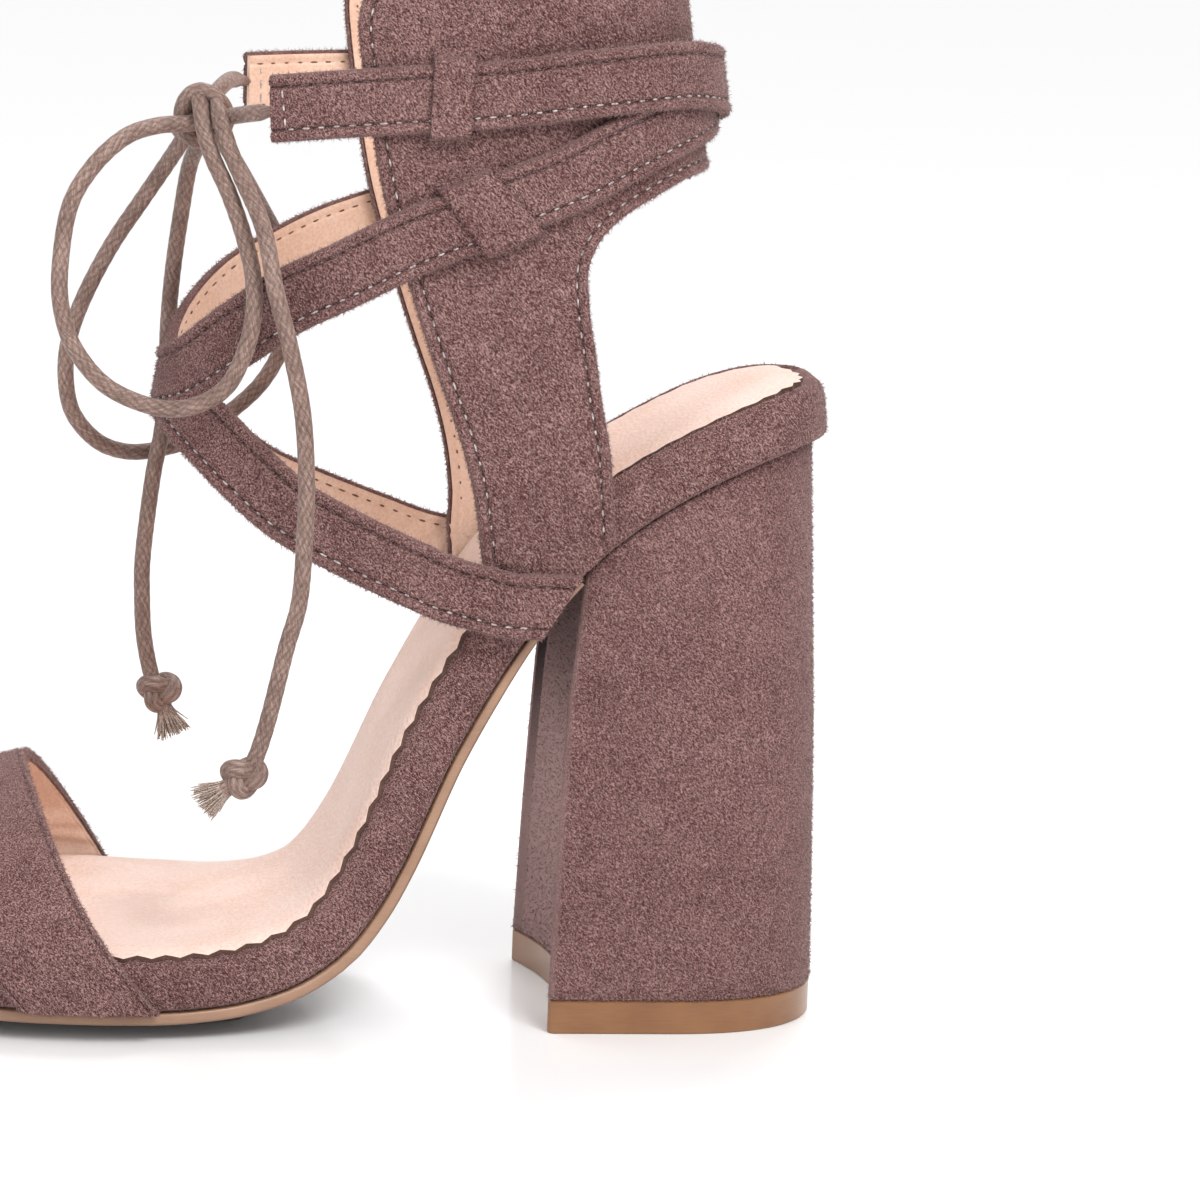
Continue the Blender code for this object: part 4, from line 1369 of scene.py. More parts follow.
    def build(self) -> None:
        """Make and dress every piece of the sole."""
        brush, shop = self.brush, self.brush.shop
        brush.cover("insole_wrap", self.wrapped_insole(), "wrapped_insole")
        # The sock's cut edge walls take the dark edge finish, partly stain and partly painted shade.
        shop.piece("pinked_sock", self.sock(), SOCK_LEATHER, ["sock_lining"], 40.0, SOCK_EDGE)
        shop.piece("outsole_edge", self.outsole(), OUTSOLE_RESIN, ["outsole"], 60.0)
        brush.cover("heel_cover", self.heel(), "heel_block", HEEL_SUEDE, 60.0)
        shop.piece("heel_lift", self.lift(), LIFT_RUBBER, ["top_lift"], 30.0)


# Upper

@dataclass
class AnkleForm:
    """The plan of the ankle and instep that the upper lies on, lateral degrees negative."""

    power: float = 2.3

    def plan(self, turn: Array, height: Array) -> tuple[Array, Array]:
        """Find the form's outline.

        Args:
            turn: Degrees from the back.
            height: Heights over the floor.

        Returns:
            The x and y.
        """
        back, front, half = (ANKLE_FORM(column, height) for column in ("back", "front", "half"))
        c, s = np.cos(np.radians(turn)), np.sin(np.radians(turn))
        x = (back + front) / 2 + (back - front) / 2 * np.sign(c) * np.abs(c) ** (2 / self.power)
        return x, half * np.sign(s) * np.abs(s) ** (2 / self.power)

    def point(self, turn: Any, height: Any, off: Any = 0.0) -> Array:
        """Find points off the form.

        Args:
            turn: Degrees from the back.
            height: Heights over the floor.
            off: Distances out from the form.

        Returns:
            The points.
        """
        turn, height, off = (np.asarray(v, float) for v in (turn, height, off))
        x, y = self.plan(turn, height)
        after, before = self.plan(turn + 0.5, height), self.plan(turn - 0.5, height)
        tx, ty = after[0] - before[0], after[1] - before[1]
        size = np.hypot(tx, ty)
        return np.stack(np.broadcast_arrays(x + ty / size * off, y - tx / size * off, height), axis=-1)

    def outward(self, turn: Array, height: Array) -> Array:
        """Find which way the form faces.

        Args:
            turn: Degrees from the back.
            height: Heights over the floor.

        Returns:
            The outward directions.
        """
        around = self.point(turn + 0.5, height) - self.point(turn - 0.5, height)
        upward = self.point(turn, height + 0.5) - self.point(turn, height - 0.5)
        return unit(np.cross(around, upward))


@dataclass
class AnkleCuff:
    """The open cuff: a back wall with one side panel down to the sole on each side."""

    stitcher: Stitcher
    brush: NapBrush
    form: AnkleForm
    profile: EdgeProfile
    mm_per_degree: float = 0.55
    panel_turn: float = 90.0
    top: float = 190.0
    medial_narrowing: float = 0.175
    medial_foot: float = 4.5
    foot_ease: float = 14.0
    step: float = 0.9
    grid: float = 2.6
    pitch: float = 2.9
    lining_thread: float = 0.5
    rear_edge: Pairs = ((0, 153), (20, 152.6), (35, 151.2), (52, 147.2), (62, 142.8), (67.5, 137.3), (69.5, 131),
                        (71.5, 122), (74, 113), (76.1, 101), (76.5, 95), (76.3, 88.8))
    foot_edge: Pairs = ((76.3, 88.8), (78.6, 84), (82, 79), (87.3, 74.5))
    front_edge: Pairs = ((87.3, 74.5), (90, 83), (93, 93), (97, 110), (100, 129), (104, 146), (106.6, 159),
                         (108.8, 171))
    corner: Pairs = ((108.8, 171), (109.6, 178), (108, 183), (103, 186), (97, 186.8))
    top_edge: Pairs = ((97, 186.8), (50, 187.3), (0, 187.5))

    def half_outline(self) -> Array:
        """Draw one side's edge, from the back centre round the panel to the top centre.

        Returns:
            The edge's points.
        """
        parts = [spaced(smooth_path(edge) * (self.mm_per_degree, 1.0), self.step)[:-1]
                 for edge in (self.rear_edge, self.foot_edge, self.front_edge, self.corner, self.top_edge)]
        return np.vstack(parts + [np.array([(0.0, self.top_edge[-1][1])])])

    def medial(self, half: Array) -> Array:
        """Draw the medial side's edge, with its front further back and its foot lower.

        Args:
            half: The lateral side's edge, mirrored.

        Returns:
            The edge's points.
        """
        front = self.panel_turn * self.mm_per_degree
        past = np.maximum(half[:, 0] - front, 0.0)
        u = np.minimum(half[:, 0], front) + past * (1 - self.medial_narrowing * half[:, 1] / self.top)
        foot_height = self.foot_edge[0][1]
        low = self.medial_foot * np.clip((foot_height - half[:, 1]) / self.foot_ease, 0.0, 1.0)
        return np.stack([u, half[:, 1] - low], axis=1)

    def place(self, pattern: Array, off: Any = 0.0) -> Array:
        """Return pattern points laid on the form."""
        return self.form.point(pattern[:, 0] / self.mm_per_degree, pattern[:, 1], off)

    def on_foot(self, outline: Array) -> Array:
        """Return which edge points lie on the feet that go into the sole."""
        front = self.foot_edge[-1][0] * self.mm_per_degree + 0.1
        return (outline[:, 1] < self.foot_edge[0][1]) & (np.abs(outline[:, 0]) < front)

    def inward(self, outline: Array) -> Array:
        """Find the steps in the pattern that move the edge one millimetre into the piece.

        Args:
            outline: The edge in the pattern.

        Returns:
            The steps.
        """
        small = 0.05
        du, dv = ((self.place(outline + d) - self.place(outline - d)) / (2 * small) for d in np.eye(2) * small)
        spot = self.place(outline)
        ahead = unit(np.roll(spot, -1, axis=0) - np.roll(spot, 1, axis=0))
        way = np.cross(ahead, unit(np.cross(du, dv)))
        steps = [np.linalg.lstsq(np.stack([a, b], axis=1), w, rcond=None)[0] for a, b, w in zip(du, dv, way)]
        return np.array(steps)

    def rows(self, outline: Array, inward: Array, skin: Skin) -> list[Row]:
        """Set out the stitches along the edge, but not along the feet that go into the sole.

        Args:
            outline: The edge in the pattern.
            inward: The steps into the piece.
            skin: The face that they are sewn on.

        Returns:
            The rows.
        """
        seam = outline + inward * self.profile.seam_at
        crowded = nearest(self.place(seam), self.place(outline)) < 0.9 * self.profile.seam_at
        bare = self.on_foot(outline) | crowded
        out = self.form.outward(seam[:, 0] / self.mm_per_degree, seam[:, 1]) * skin.value
        line = self.place(seam, self.profile.thread(skin))
        order = np.roll(np.arange(len(seam)), -np.flatnonzero(bare)[0])
        groups = np.split(order, np.flatnonzero(bare[order]))
        return [Row.on_line(line[g[1:]], out[g[1:]], self.pitch) for g in groups if len(g) > 6]

    def build(self) -> None:
        """Make the cuff's suede, lining and stitches."""
        profile = self.profile
        half = self.half_outline()
        outline = np.vstack([half * (-1.0, 1.0), self.medial(half)[-2:0:-1]])
        inward = self.inward(outline)
        edge = self.place(outline)
        inside, lines, count = [], [], 0
        for inset in profile.insets():
            ring = outline + inward * inset
            kept = np.flatnonzero(nearest(self.place(ring), edge) > 0.95 * inset)
            inside.append(ring[kept])
            lines += [(count + i, count + i + 1) for i in np.flatnonzero(np.diff(kept) == 1).tolist()]
            count += len(kept)
        widest, lowest = half[:, 0].max(), half[:, 1].min()
        fill = grid_points(np.arange(-widest, widest, self.grid), np.arange(lowest, self.top, self.grid))
        inside.append(fill[nearest(self.place(fill), edge) > profile.insets()[-1] + 1.0])
        pattern, faces = cut_pattern(outline, np.vstack(inside), lines)
        inset = nearest(self.place(pattern), edge[~self.on_foot(outline)])
        rim = nearest(self.place(pattern), edge)
        face = double_wall(self.place(pattern, profile.under(rim)),
                           self.place(pattern, WALL - profile.drop(inset)), faces, profile.marks(inset))
        used, lined = trimmed([f for f in faces if np.mean(rim[list(f)]) >= profile.turned])
        lining = double_wall(self.place(pattern[used], profile.lining_rise(inset[used])),
                             self.place(pattern[used], LINED), lined)
        self.brush.cover("cuff_suede", face, "ankle_cuff")
        self.brush.shop.piece("cuff_lining", lining, LINING_LEATHER)
        outer, inner = (self.rows(outline, inward, skin) for skin in Skin)
        self.stitcher.sew("cuff_stitches", outer, PALE_THREAD)
        self.stitcher.sew("cuff_lining_stitches", inner, DARK_THREAD, self.lining_thread)


@dataclass(frozen=True)
class Crease:
    """A soft trough across a lining, by its place along the strap."""

    at: float
    depth: float
    width: float
    slant: float = 0.0

    def dip(self, run: Array, across: Array) -> Array:
        """Return the trough's depth."""
        return self.depth * np.exp(-((run - self.at - self.slant * across) / self.width) ** 2)


@dataclass
class Strap:
    """A flat strap that follows the ankle form along its table, on its own side first."""

    form: AnkleForm
    profile: EdgeProfile
    table: Table
    side: Side
    creases: tuple[Crease, ...] = ()
    width: float = 11.6
    cut_skew: float = 3.4
    cut_reach: float = 26.0
    step: float = 1.1
    pitch: float = 2.7
    end_row: float = 2.3
    sole_end: float = 3.0
    end_thread: float = 0.04
    middle_inset: float = 4.4
    tucked: int = 2

    def __post_init__(self) -> None:
        """Space the strap's sections evenly along its middle line."""
        dense = np.linspace(self.table.rows[0][0], self.table.rows[-1][0], 1500)
        run = run_length(self.line(dense))
        goals = np.linspace(0.0, run[-1], int(run[-1] / self.step) + 1)
        self.turns = np.interp(goals, run, dense)
        self.run = goals

    def line(self, turn: Array) -> Array:
        """Return the strap's middle line on the form."""
        return self.form.point(self.side.value * turn, self.table("height", turn))

    def frame(self, turn: Array) -> tuple[Array, Array, Array, Array]:
        """Follow the strap's middle line on the form.

        Args:
            turn: Degrees by section.

        Returns:
            Places on the middle line, and the directions along, out and across.
        """
        along = unit(self.line(turn + 0.5) - self.line(turn - 0.5))
        out = self.form.outward(self.side.value * turn, self.table("height", turn))
        return self.line(turn), along, out, np.cross(along, out) * self.side.value

    def spot(self, turn: Array, across: Array, off: Array, skew: Any = 0.0) -> Array:
        """Return points of the strap.

        Args:
            turn: Degrees by section.
            across: Places across the strap, by section and by place on it.
            off: Heights over the form, of the same sizes.
            skew: How far the lower edge leads the middle.

        Returns:
            The points, by section and by place on it.
        """
        base, along, out, cross = (v[:, None, :] for v in self.frame(turn))
        lead = (np.broadcast_to(skew, turn.shape)[:, None] * across * 2 / self.width)[..., None]
        return base + cross * across[..., None] + out * off[..., None] + along * lead

    def skew(self) -> Array:
        """Return the slant of the sections near the sole."""
        return self.cut_skew * np.maximum(1.0 - self.run / self.cut_reach, 0.0)

    def layer(self, skin: Skin) -> Shape:
        """Shape the suede face, turned over its edges, or the lining inside it.

        Args:
            skin: Which of the two.

        Returns:
            The layer.
        """
        profile = self.profile
        half = self.width / 2 - (0.0 if skin is Skin.OUTER else profile.turned)
        insets = np.array((0.0,) + profile.insets() + (self.middle_inset, half))
        inset = np.concatenate([insets, insets[-2::-1]])
        places = np.concatenate([insets - half, half - insets[-2::-1]])
        low = self.table("stand_off", self.turns)[:, None]
        if skin is Skin.OUTER:
            near = low + WALL - profile.drop(inset)
            back = np.array((half, half - profile.turned + 0.02, half - profile.turned))
            far = np.array((profile.turn_in, profile.turn_in, UNDER))
        else:
            near = low + profile.lining_rise(inset + profile.turned)
            near = near + sum(crease.dip(self.run[:, None], places) for crease in self.creases)
            back, far = np.array((half,)), np.array((LINED,))
        across = np.concatenate([places, back, -back[::-1]])
        across = np.broadcast_to(across, (len(self.turns), len(across)))
        far = low + np.concatenate([far, far[::-1]])
        rings = self.spot(self.turns, across, np.concatenate([near, far], axis=1), self.skew())
        if skin is Skin.INNER:
            return loft(rings[self.tucked:])
        marks = {}
        for key, value in profile.marks(inset).items():
            behind = np.full(len(back) * 2, 0.0 if key == "fuzz" else value[0])
            marks[key] = np.broadcast_to(np.concatenate([value, behind]), across.shape)
        return loft(rings, marks)

    def rows(self, skin: Skin) -> list[Row]:
        """Set out the stitches along both edges and across the tie end.

        Args:
            skin: The face that they are sewn on.

        Returns:
            The lower edge's row, the upper edge's row and the end's row.
        """
        low = self.table("stand_off", self.turns)
        off = low + self.profile.thread(skin)
        out = self.frame(self.turns)[2] * skin.value
        reach = self.width / 2 - self.profile.seam_at
        keep = (self.run > self.sole_end) & (self.run < self.run[-1] - self.end_row + 0.3)
        rows = []
        for place in (reach, -reach):
            line = self.spot(self.turns, np.full((len(low), 1), place), off[:, None], self.skew())[:, 0]
            rows.append(Row.on_line(line[keep], out[keep], self.pitch))
        last = np.interp([self.run[-1] - self.end_row], self.run, self.turns)
        across = np.linspace(-reach, reach, 9)[None, :]
        surface = low[-1] + (WALL + self.end_thread if skin is Skin.OUTER else -self.end_thread)
        end = self.spot(last, across, np.full(across.shape, surface))[0]
        rows.append(Row.on_line(end, np.repeat(out[-1:], across.size, axis=0), self.pitch * 0.9))
        return rows


@dataclass
class CrossStraps:
    """The two straps, joined over the instep, and the belt loops that hold them to the cuff."""

    stitcher: Stitcher
    brush: NapBrush
    form: AnkleForm
    profile: EdgeProfile
    loop_wall: float = 0.7
    loop_foot: float = 2.1
    loop_thinning: float = 0.22
    upper: tuple[float, ...] = (451.4, 6.9, 8.2, 0.7)
    lower: tuple[float, ...] = (274.0, 9.6, 7.6, 2.0)
    creases: tuple[Crease, ...] = tuple(Crease(*row) for row in (
        (9.0, 0.22, 0.5, 0.1), (12.5, 0.32, 0.7, -0.1), (17.0, 0.42, 0.8, 0.15), (21.5, 0.25, 0.6, 0.05),
        (26.5, 0.36, 0.8, -0.12), (33.0, 0.22, 0.7, 0.1), (92.0, 0.15, 0.6, 0.1), (104.0, 0.18, 0.7, -0.05),
        (117.0, 0.14, 0.6, 0.1)))

    def loop(self, strap: Strap, turn: float, length: float, reach: float, skew: float) -> Shape:
        """Return one belt loop: two feet on the cuff and a soft bridge over the strap.

        Args:
            strap: The strap that it holds.
            turn: Where on the strap.
            length: Its length along the strap.
            reach: Its reach across, from the strap's middle.
            skew: How far its lower edge leads along the strap.

        Returns:
            The loop.
        """
        inner = strap.width / 2 + 0.3
        bridge = float(strap.table("stand_off", turn)) + WALL + 0.15
        wall, foot = self.loop_wall, self.loop_foot
        half = np.array((
            (0.0, bridge + 0.12), (inner - 2.5, bridge + 0.1), (inner - 0.8, bridge), (inner, bridge - 0.9),
            (inner, foot + 0.4), (inner + 0.4, foot), (reach, foot), (reach + 0.1, foot + 0.12),
            (reach - 0.5, foot + 0.45), (inner + wall + 0.2, foot + wall + 0.4),
            (inner + wall - 0.1, bridge + wall * 0.4), (inner + wall - 0.8, bridge + wall),
            (inner - 2.5, bridge + wall + 0.12)))
        ring = np.vstack([half, [(0.0, bridge + wall + 0.15)], half[:0:-1] * (-1.0, 1.0)])
        dense = smooth_path(np.vstack([ring, ring[:1]]), 5)[:-1]
        per_degree = float(np.linalg.norm(np.diff(strap.line(np.array((turn - 0.5, turn + 0.5))), axis=0)))
        shares = np.array((-0.5, -0.47, -0.42, -0.3, -0.15, 0.0, 0.15, 0.3, 0.42, 0.47, 0.5))
        ends = np.clip(1.0 - (0.5 - np.abs(shares)) / 0.06, 0.0, 1.0) ** 2
        thinner = self.loop_thinning * ends[:, None] * (dense[:, 1] > bridge)
        across = np.broadcast_to(dense[:, 0], thinner.shape)
        rings = strap.spot(turn + length * shares / per_degree, across, dense[:, 1] - thinner, skew)
        cut = np.broadcast_to(ends[:, None], rings.shape[:2])
        # Painted shadow along the loop's ends, where the strap comes out from under it.
        return loft(rings, {"turned_edge": 0 * cut, "seam": 0.55 * cut, "fuzz": np.where(cut > 0.1, 0.3, 0.55)})

    def build(self) -> None:
        """Make the straps, their lining, loops and stitches."""
        straps = {side: Strap(self.form, self.profile, table, side, self.creases)
                  for side, table in ((Side.LATERAL, LATERAL_STRAP), (Side.MEDIAL, MEDIAL_STRAP))}
        face, lining = (joined(*(strap.layer(skin) for strap in straps.values())) for skin in Skin)
        outer, inner = ([strap.rows(skin) for strap in straps.values()] for skin in Skin)
        self.brush.cover("strap_suede", face, "cross_straps")
        self.brush.shop.piece("strap_lining", lining, LINING_LEATHER)
        lower = [row for rows in outer for row in (rows[0], rows[2])] + [rows[2] for rows in inner]
        # The upper edges' stitches take the darker thread, painted shade in their groove.
        self.stitcher.sew("strap_upper_stitches", [rows[1] for rows in outer], SHADED_THREAD)
        self.stitcher.sew("strap_lower_stitches", lower, PALE_THREAD)
        self.stitcher.sew("strap_lining_stitches", [row for rows in inner for row in rows[:2]], DARK_THREAD)
        for name, held, size in (("lateral_upper_loop", Side.LATERAL, self.upper),
                                 ("lateral_lower_loop", Side.MEDIAL, self.lower),
                                 ("medial_upper_loop", Side.MEDIAL, self.upper),
                                 ("medial_lower_loop", Side.LATERAL, self.lower)):
            self.brush.cover(name + "_suede", self.loop(straps[held], *size), name)


@dataclass
class ToeBand:
    """The wide band over the toes, which comes down outside the insole to the outsole."""

    stitcher: Stitcher
    brush: NapBrush
    sole: Sole
    profile: EdgeProfile
    rear_foot: float = 121.5
    rear_lean: float = 22.5
    front_foot: float = 145.5
    front_lean: float = 24.0
    lateral_bow: float = 2.4
    power: float = 1.95
    leg_share: float = 0.08
    leg_rise: float = 0.25
    skew: float = 2.5
    width: float = 24.5
    across_steps: int = 170
    pitch: float = 2.8
    thread_rise: float = 0.05
    sewn: tuple[float, float] = (0.05, 0.95)
    creases: tuple[Crease, ...] = tuple(Crease(*row) for row in (
        (0.835, 0.9, 0.016, 0.02), (0.875, 0.7, 0.013, -0.03), (0.91, 0.5, 0.012, 0.02),
        (0.165, 0.7, 0.016, 0.02), (0.125, 0.5, 0.013, -0.02)))

    def point(self, across: Array, along: Array, grow: Array) -> Array:
        """Find points of the band.

        Args:
            across: Shares of the way over, from the lateral foot.
            along: Shares of the way from the rear edge.
            grow: Distances out from the inner skin.

        Returns:
            The points.
        """
        angle = np.pi * np.clip((across - self.leg_share) / (1 - 2 * self.leg_share), 0.0, 1.0)
        cosine = np.cos(angle)
        arch = np.clip(np.sin(angle), 0.0, 1.0) ** (2 / self.power)
        leg = np.minimum(np.minimum(across, 1 - across), self.leg_share) / self.leg_share
        rise = self.leg_rise * leg + (1 - self.leg_rise) * arch
        bow = self.lateral_bow * 4 * rise * (1 - rise) * np.maximum(cosine, 0.0)
        rear = self.rear_foot + self.rear_lean * rise
        front = self.front_foot + self.front_lean * rise
        reach = rear * (1 - along) + front * along + bow
        half = self.sole.half_width(reach, 0.0) + GAP + grow
        foot = FOOT_BED("height", reach) - self.sole.insole_thick
        peak = BAND_PEAK("height", reach) + grow
        y = SOLE_OUTLINE("middle", reach) - half * np.sign(cosine) * np.abs(cosine) ** (2 / self.power)
        return np.stack([-reach, y + self.skew * arch, foot + (peak - foot) * rise], axis=-1)

    def rows(self) -> list[Row]:
        """Set out the stitches along the front and rear edges.

        Returns:
            The two rows.
        """
        across = np.linspace(*self.sewn, 240)
        seam = self.profile.seam_at / self.width
        grow = WALL - self.profile.seam_depth + self.thread_rise
        rows = []
        for along in (seam, 1 - seam):
            line = self.point(across, np.full_like(across, along), grow)
            out = unit(self.point(across, np.full_like(across, along), grow + 1.0) - line)
            rows.append(Row.on_line(line, out, self.pitch))
        return rows

    def build(self) -> None:
        """Make the band's suede, lining and stitches."""
        profile = self.profile
        insets = np.array((0.0,) + profile.insets()) / self.width
        along = np.concatenate([insets, np.linspace(insets[-1], 1 - insets[-1], 12)[1:-1], (1 - insets)[::-1]])
        u, v = (grid.ravel() for grid in np.meshgrid(np.linspace(0, 1, self.across_steps + 1), along, indexing="ij"))
        columns = len(along)
        faces = [(i * columns + j, i * columns + j + 1, (i + 1) * columns + j + 1, (i + 1) * columns + j)
                 for i in range(self.across_steps) for j in range(columns - 1)]
        inset = np.minimum(v, 1 - v) * self.width
        face = double_wall(self.point(u, v, profile.under(inset)), self.point(u, v, WALL - profile.drop(inset)),
                           faces, profile.marks(inset))
        v = (v - 0.5) * (1 - 2 * profile.turned / self.width) + 0.5
        pushed = profile.lining_rise(np.minimum(v, 1 - v) * self.width) - sum(c.dip(u, v) for c in self.creases)
        lining = double_wall(self.point(u, v, pushed), self.point(u, v, LINED), faces)
        self.brush.cover("toe_band_suede", face, "toe_band")
        self.brush.shop.piece("toe_band_lining", lining, LINING_LEATHER)
        # The band's stitches take the darker thread, painted shade in their groove.
        self.stitcher.sew("toe_band_stitches", self.rows(), SHADED_THREAD)


# Cord

@dataclass(frozen=True)
class CordRoute:
    """One side's cord: from its strap end round its bow to the knot, and from the knot down its tail."""

    bow: Route
    tail: Route
    tip: Route


@dataclass
class TiedCord:
    """The waxed cord out of both strap ends, tied in a bow, with knotted and frayed ends."""

    shop: Workshop
    diameter: float = 3.0
    step: float = 0.4
    around: int = 32
    strands: int = 8
    plait: float = 2.6
    relief: float = 0.07
    fibre_twist: float = 0.32
    fibre_stretch: float = 0.2
    knot_centre: Triple = (-116.0, -1.0, 159.0)
    wrap_points: int = 72
    wrap_thick: float = 0.96
    knot_points: int = 130
    knot_size: Triple = (0.96, 1.02, 0.82)
    knot_thick: float = 1.14
    pressed: tuple[float, float] = (0.35, 0.13)
    crisp: float = 80.0
    fibres: int = 190
    fibre_radius: float = 0.19
    fray: tuple[float, float] = (1.35, 2.1)
    seed: int = 11
    lateral: CordRoute = CordRoute(
        bow=((-104.5, -24.6, 162.7), (-107.8, -19.5, 161.8), (-111, -12.8, 160.6), (-114.6, -8.4, 159.3),
             (-119, -8, 158.6), (-124.5, -10, 158.2), (-130, -13, 156.4), (-135.5, -16, 151.5), (-139.5, -18, 144.5),
             (-141, -20, 134), (-140.5, -21, 126.5), (-138, -22, 120), (-132.5, -23, 114), (-124.5, -25.5, 111),
             (-118, -27.5, 111.5), (-112.5, -29, 115), (-109.5, -29.5, 121), (-108, -29, 127.5), (-108, -26, 134),
             (-109.5, -22.5, 140.5), (-112, -18.5, 147.5), (-114.6, -14.8, 153), (-116, -12.6, 157),
             (-116.6, -11.2, 160.2), (-116.9, -8.4, 163)),
        tail=((-114.6, -8.4, 163.3), (-114, -11.6, 161.9), (-113.2, -13.8, 158.8), (-111.8, -16.2, 154.6),
              (-110, -19.2, 150.6), (-106.5, -26.5, 142.5), (-104.5, -31.5, 132.5), (-102, -33, 123.5),
              (-99.5, -34.5, 112), (-98.5, -35, 100.5), (-98.5, -35, 90.5), (-99, -34.5, 79), (-101, -33, 70),
              (-103.5, -32, 58), (-105.5, -31, 50.5), (-107.5, -31, 47)),
        tip=((-109.9, -31, 45.3), (-112, -31, 43.8), (-114.9, -30.5, 41.8)))
    medial: CordRoute = CordRoute(
        bow=((-105.4, 24.1, 163.4), (-108.6, 20.6, 164.1), (-110.6, 13, 164.4), (-113, 5.5, 163.2), (-116.3, 1.2, 160),
             (-118.8, 2, 155.2), (-121.3, 6.8, 150.2), (-125.5, 10.5, 143), (-130.5, 14, 134.5), (-135, 16, 125),
             (-137.5, 18, 117), (-138, 19, 110), (-136.5, 21, 103), (-132, 24, 97.5), (-126.5, 27.5, 95),
             (-120.5, 30.5, 95), (-113.5, 32.5, 97), (-108, 33.5, 101), (-101.5, 34.5, 107), (-97.5, 35, 114.5),
             (-96.5, 35, 122.5), (-97.5, 34, 130), (-100, 32.5, 135.5), (-102, 30, 139), (-107.5, 19, 148),
             (-112.5, 7, 155.5), (-115, 1, 158.5)),
        tail=((-114.5, -1, 158.5), (-115.5, 4, 155), (-117, 12, 149.5), (-118, 17, 140.5), (-119, 21, 129.5),
              (-119.5, 23.5, 119), (-119.5, 25, 108.5), (-120, 25.5, 99.5), (-121.5, 25, 90.5), (-123, 23.5, 76.5),
              (-123, 22.5, 68.5), (-122.5, 22, 61.5), (-121, 22, 54.5), (-119.5, 22, 51.5)),
        tip=((-118.5, 21.5, 48.5), (-117.4, 21, 46.6), (-116.6, 21, 43.6)))

    def frames(self, path: Array, closed: bool) -> tuple[Array, Array, Array]:
        """Carry a frame along a path.

        Args:
            path: The path's points.
            closed: Whether it joins itself.

        Returns:
            Directions along the path, and two across it that don't twist.
        """
        ahead = unit(np.roll(path, -1, axis=0) - np.roll(path, 1, axis=0) if closed else np.gradient(path, axis=0))
        first = np.cross(ahead[0], (0.0, 1.0, 0.0) if abs(ahead[0][1]) < 0.9 else (1.0, 0.0, 0.0))
        sides = [first / np.linalg.norm(first)]
        for way in ahead[1:]:
            side = sides[-1] - way * (sides[-1] @ way)
            sides.append(side / np.linalg.norm(side))
        side = np.array(sides)
        if closed:
            end = side[-1] - ahead[0] * (side[-1] @ ahead[0])
            slip = math.atan2(np.cross(side[0], end) @ ahead[0], side[0] @ end)
            turn = -slip * np.linspace(0.0, 1.0, len(path), endpoint=False)[:, None]
            side = side * np.cos(turn) + np.cross(ahead, side) * np.sin(turn)
        return ahead, side, np.cross(ahead, side)

    def braid(self, run: Array, angle: Array) -> Array:
        """Plait the strands.

        Args:
            run: Distances along the cord.
            angle: Angles round it.

        Returns:
            The height of the plait, from 0 between the strands to 1 on their backs.
        """
        round_share = self.strands * angle / (2 * np.pi)
        a = round_share + run / self.plait
        b = round_share - run / self.plait
        over = (np.floor(a) + np.floor(b)) % 2 < 0.5
        strand = np.where(over, a, b) % 1.0
        length = np.where(over, b, a) % 1.0
        return np.sin(np.pi * strand) ** 0.6 * (0.72 + 0.28 * np.sin(np.pi * length))

    def sweep(self, path: Array, closed: bool = False, taper: Any = 1.0) -> Shape:
        """Return braided cord along a path.

        Args:
            path: Its centre line.
            closed: Whether it joins itself.
            taper: Its thickness along the path, against its own.

        Returns:
            The cord.
        """
        ahead, side, up = self.frames(path, closed)
        run = run_length(path)
        angle = np.linspace(0.0, 2 * np.pi, self.around, endpoint=False)
        braid = self.braid(run[:, None], angle[None, :])
        radius = (self.diameter / 2 - self.relief * (1 - braid)) * np.broadcast_to(taper, run.shape)[:, None]
        ring = round_about(side, up, angle)
        turned = angle[None, :] + self.fibre_twist * run[:, None]
        lay = (np.cos(turned) * self.diameter / 2, np.sin(turned) * self.diameter / 2,
               np.broadcast_to(run[:, None] * self.fibre_stretch, turned.shape))
        # The plait's height is kept for the cord's painted shade and highlight.
        marks = {"braid": braid, **{"lay_" + axis: value * MM for axis, value in zip("xyz", lay)}}
        return loft(path[:, None] + ring * radius[..., None], marks, closed)

    def wrap(self, centre: Sequence[float], normal: Sequence[float], first: Sequence[float], wide: float, tall: float,
             wave: float = 0.0) -> Shape:
        """Return one closed turn of cord in a knot.

        Args:
            centre: The turn's middle.
            normal: The direction through the turn.
            first: A direction in its plane.
            wide: Its half width along that direction.
            tall: Its half height across it.
            wave: How far it weaves to both sides.

        Returns:
            The turn.
        """
        normal, first = unit(np.array(normal, float)), np.array(first, float)
        first = unit(first - normal * (first @ normal))
        second = np.cross(normal, first)
        t = np.linspace(0.0, 2 * np.pi, self.wrap_points, endpoint=False)[:, None]
        path = np.array(centre) + first * wide * np.cos(t) + second * tall * np.sin(t) + normal * wave * np.sin(2 * t)
        return self.sweep(path, True, self.wrap_thick)

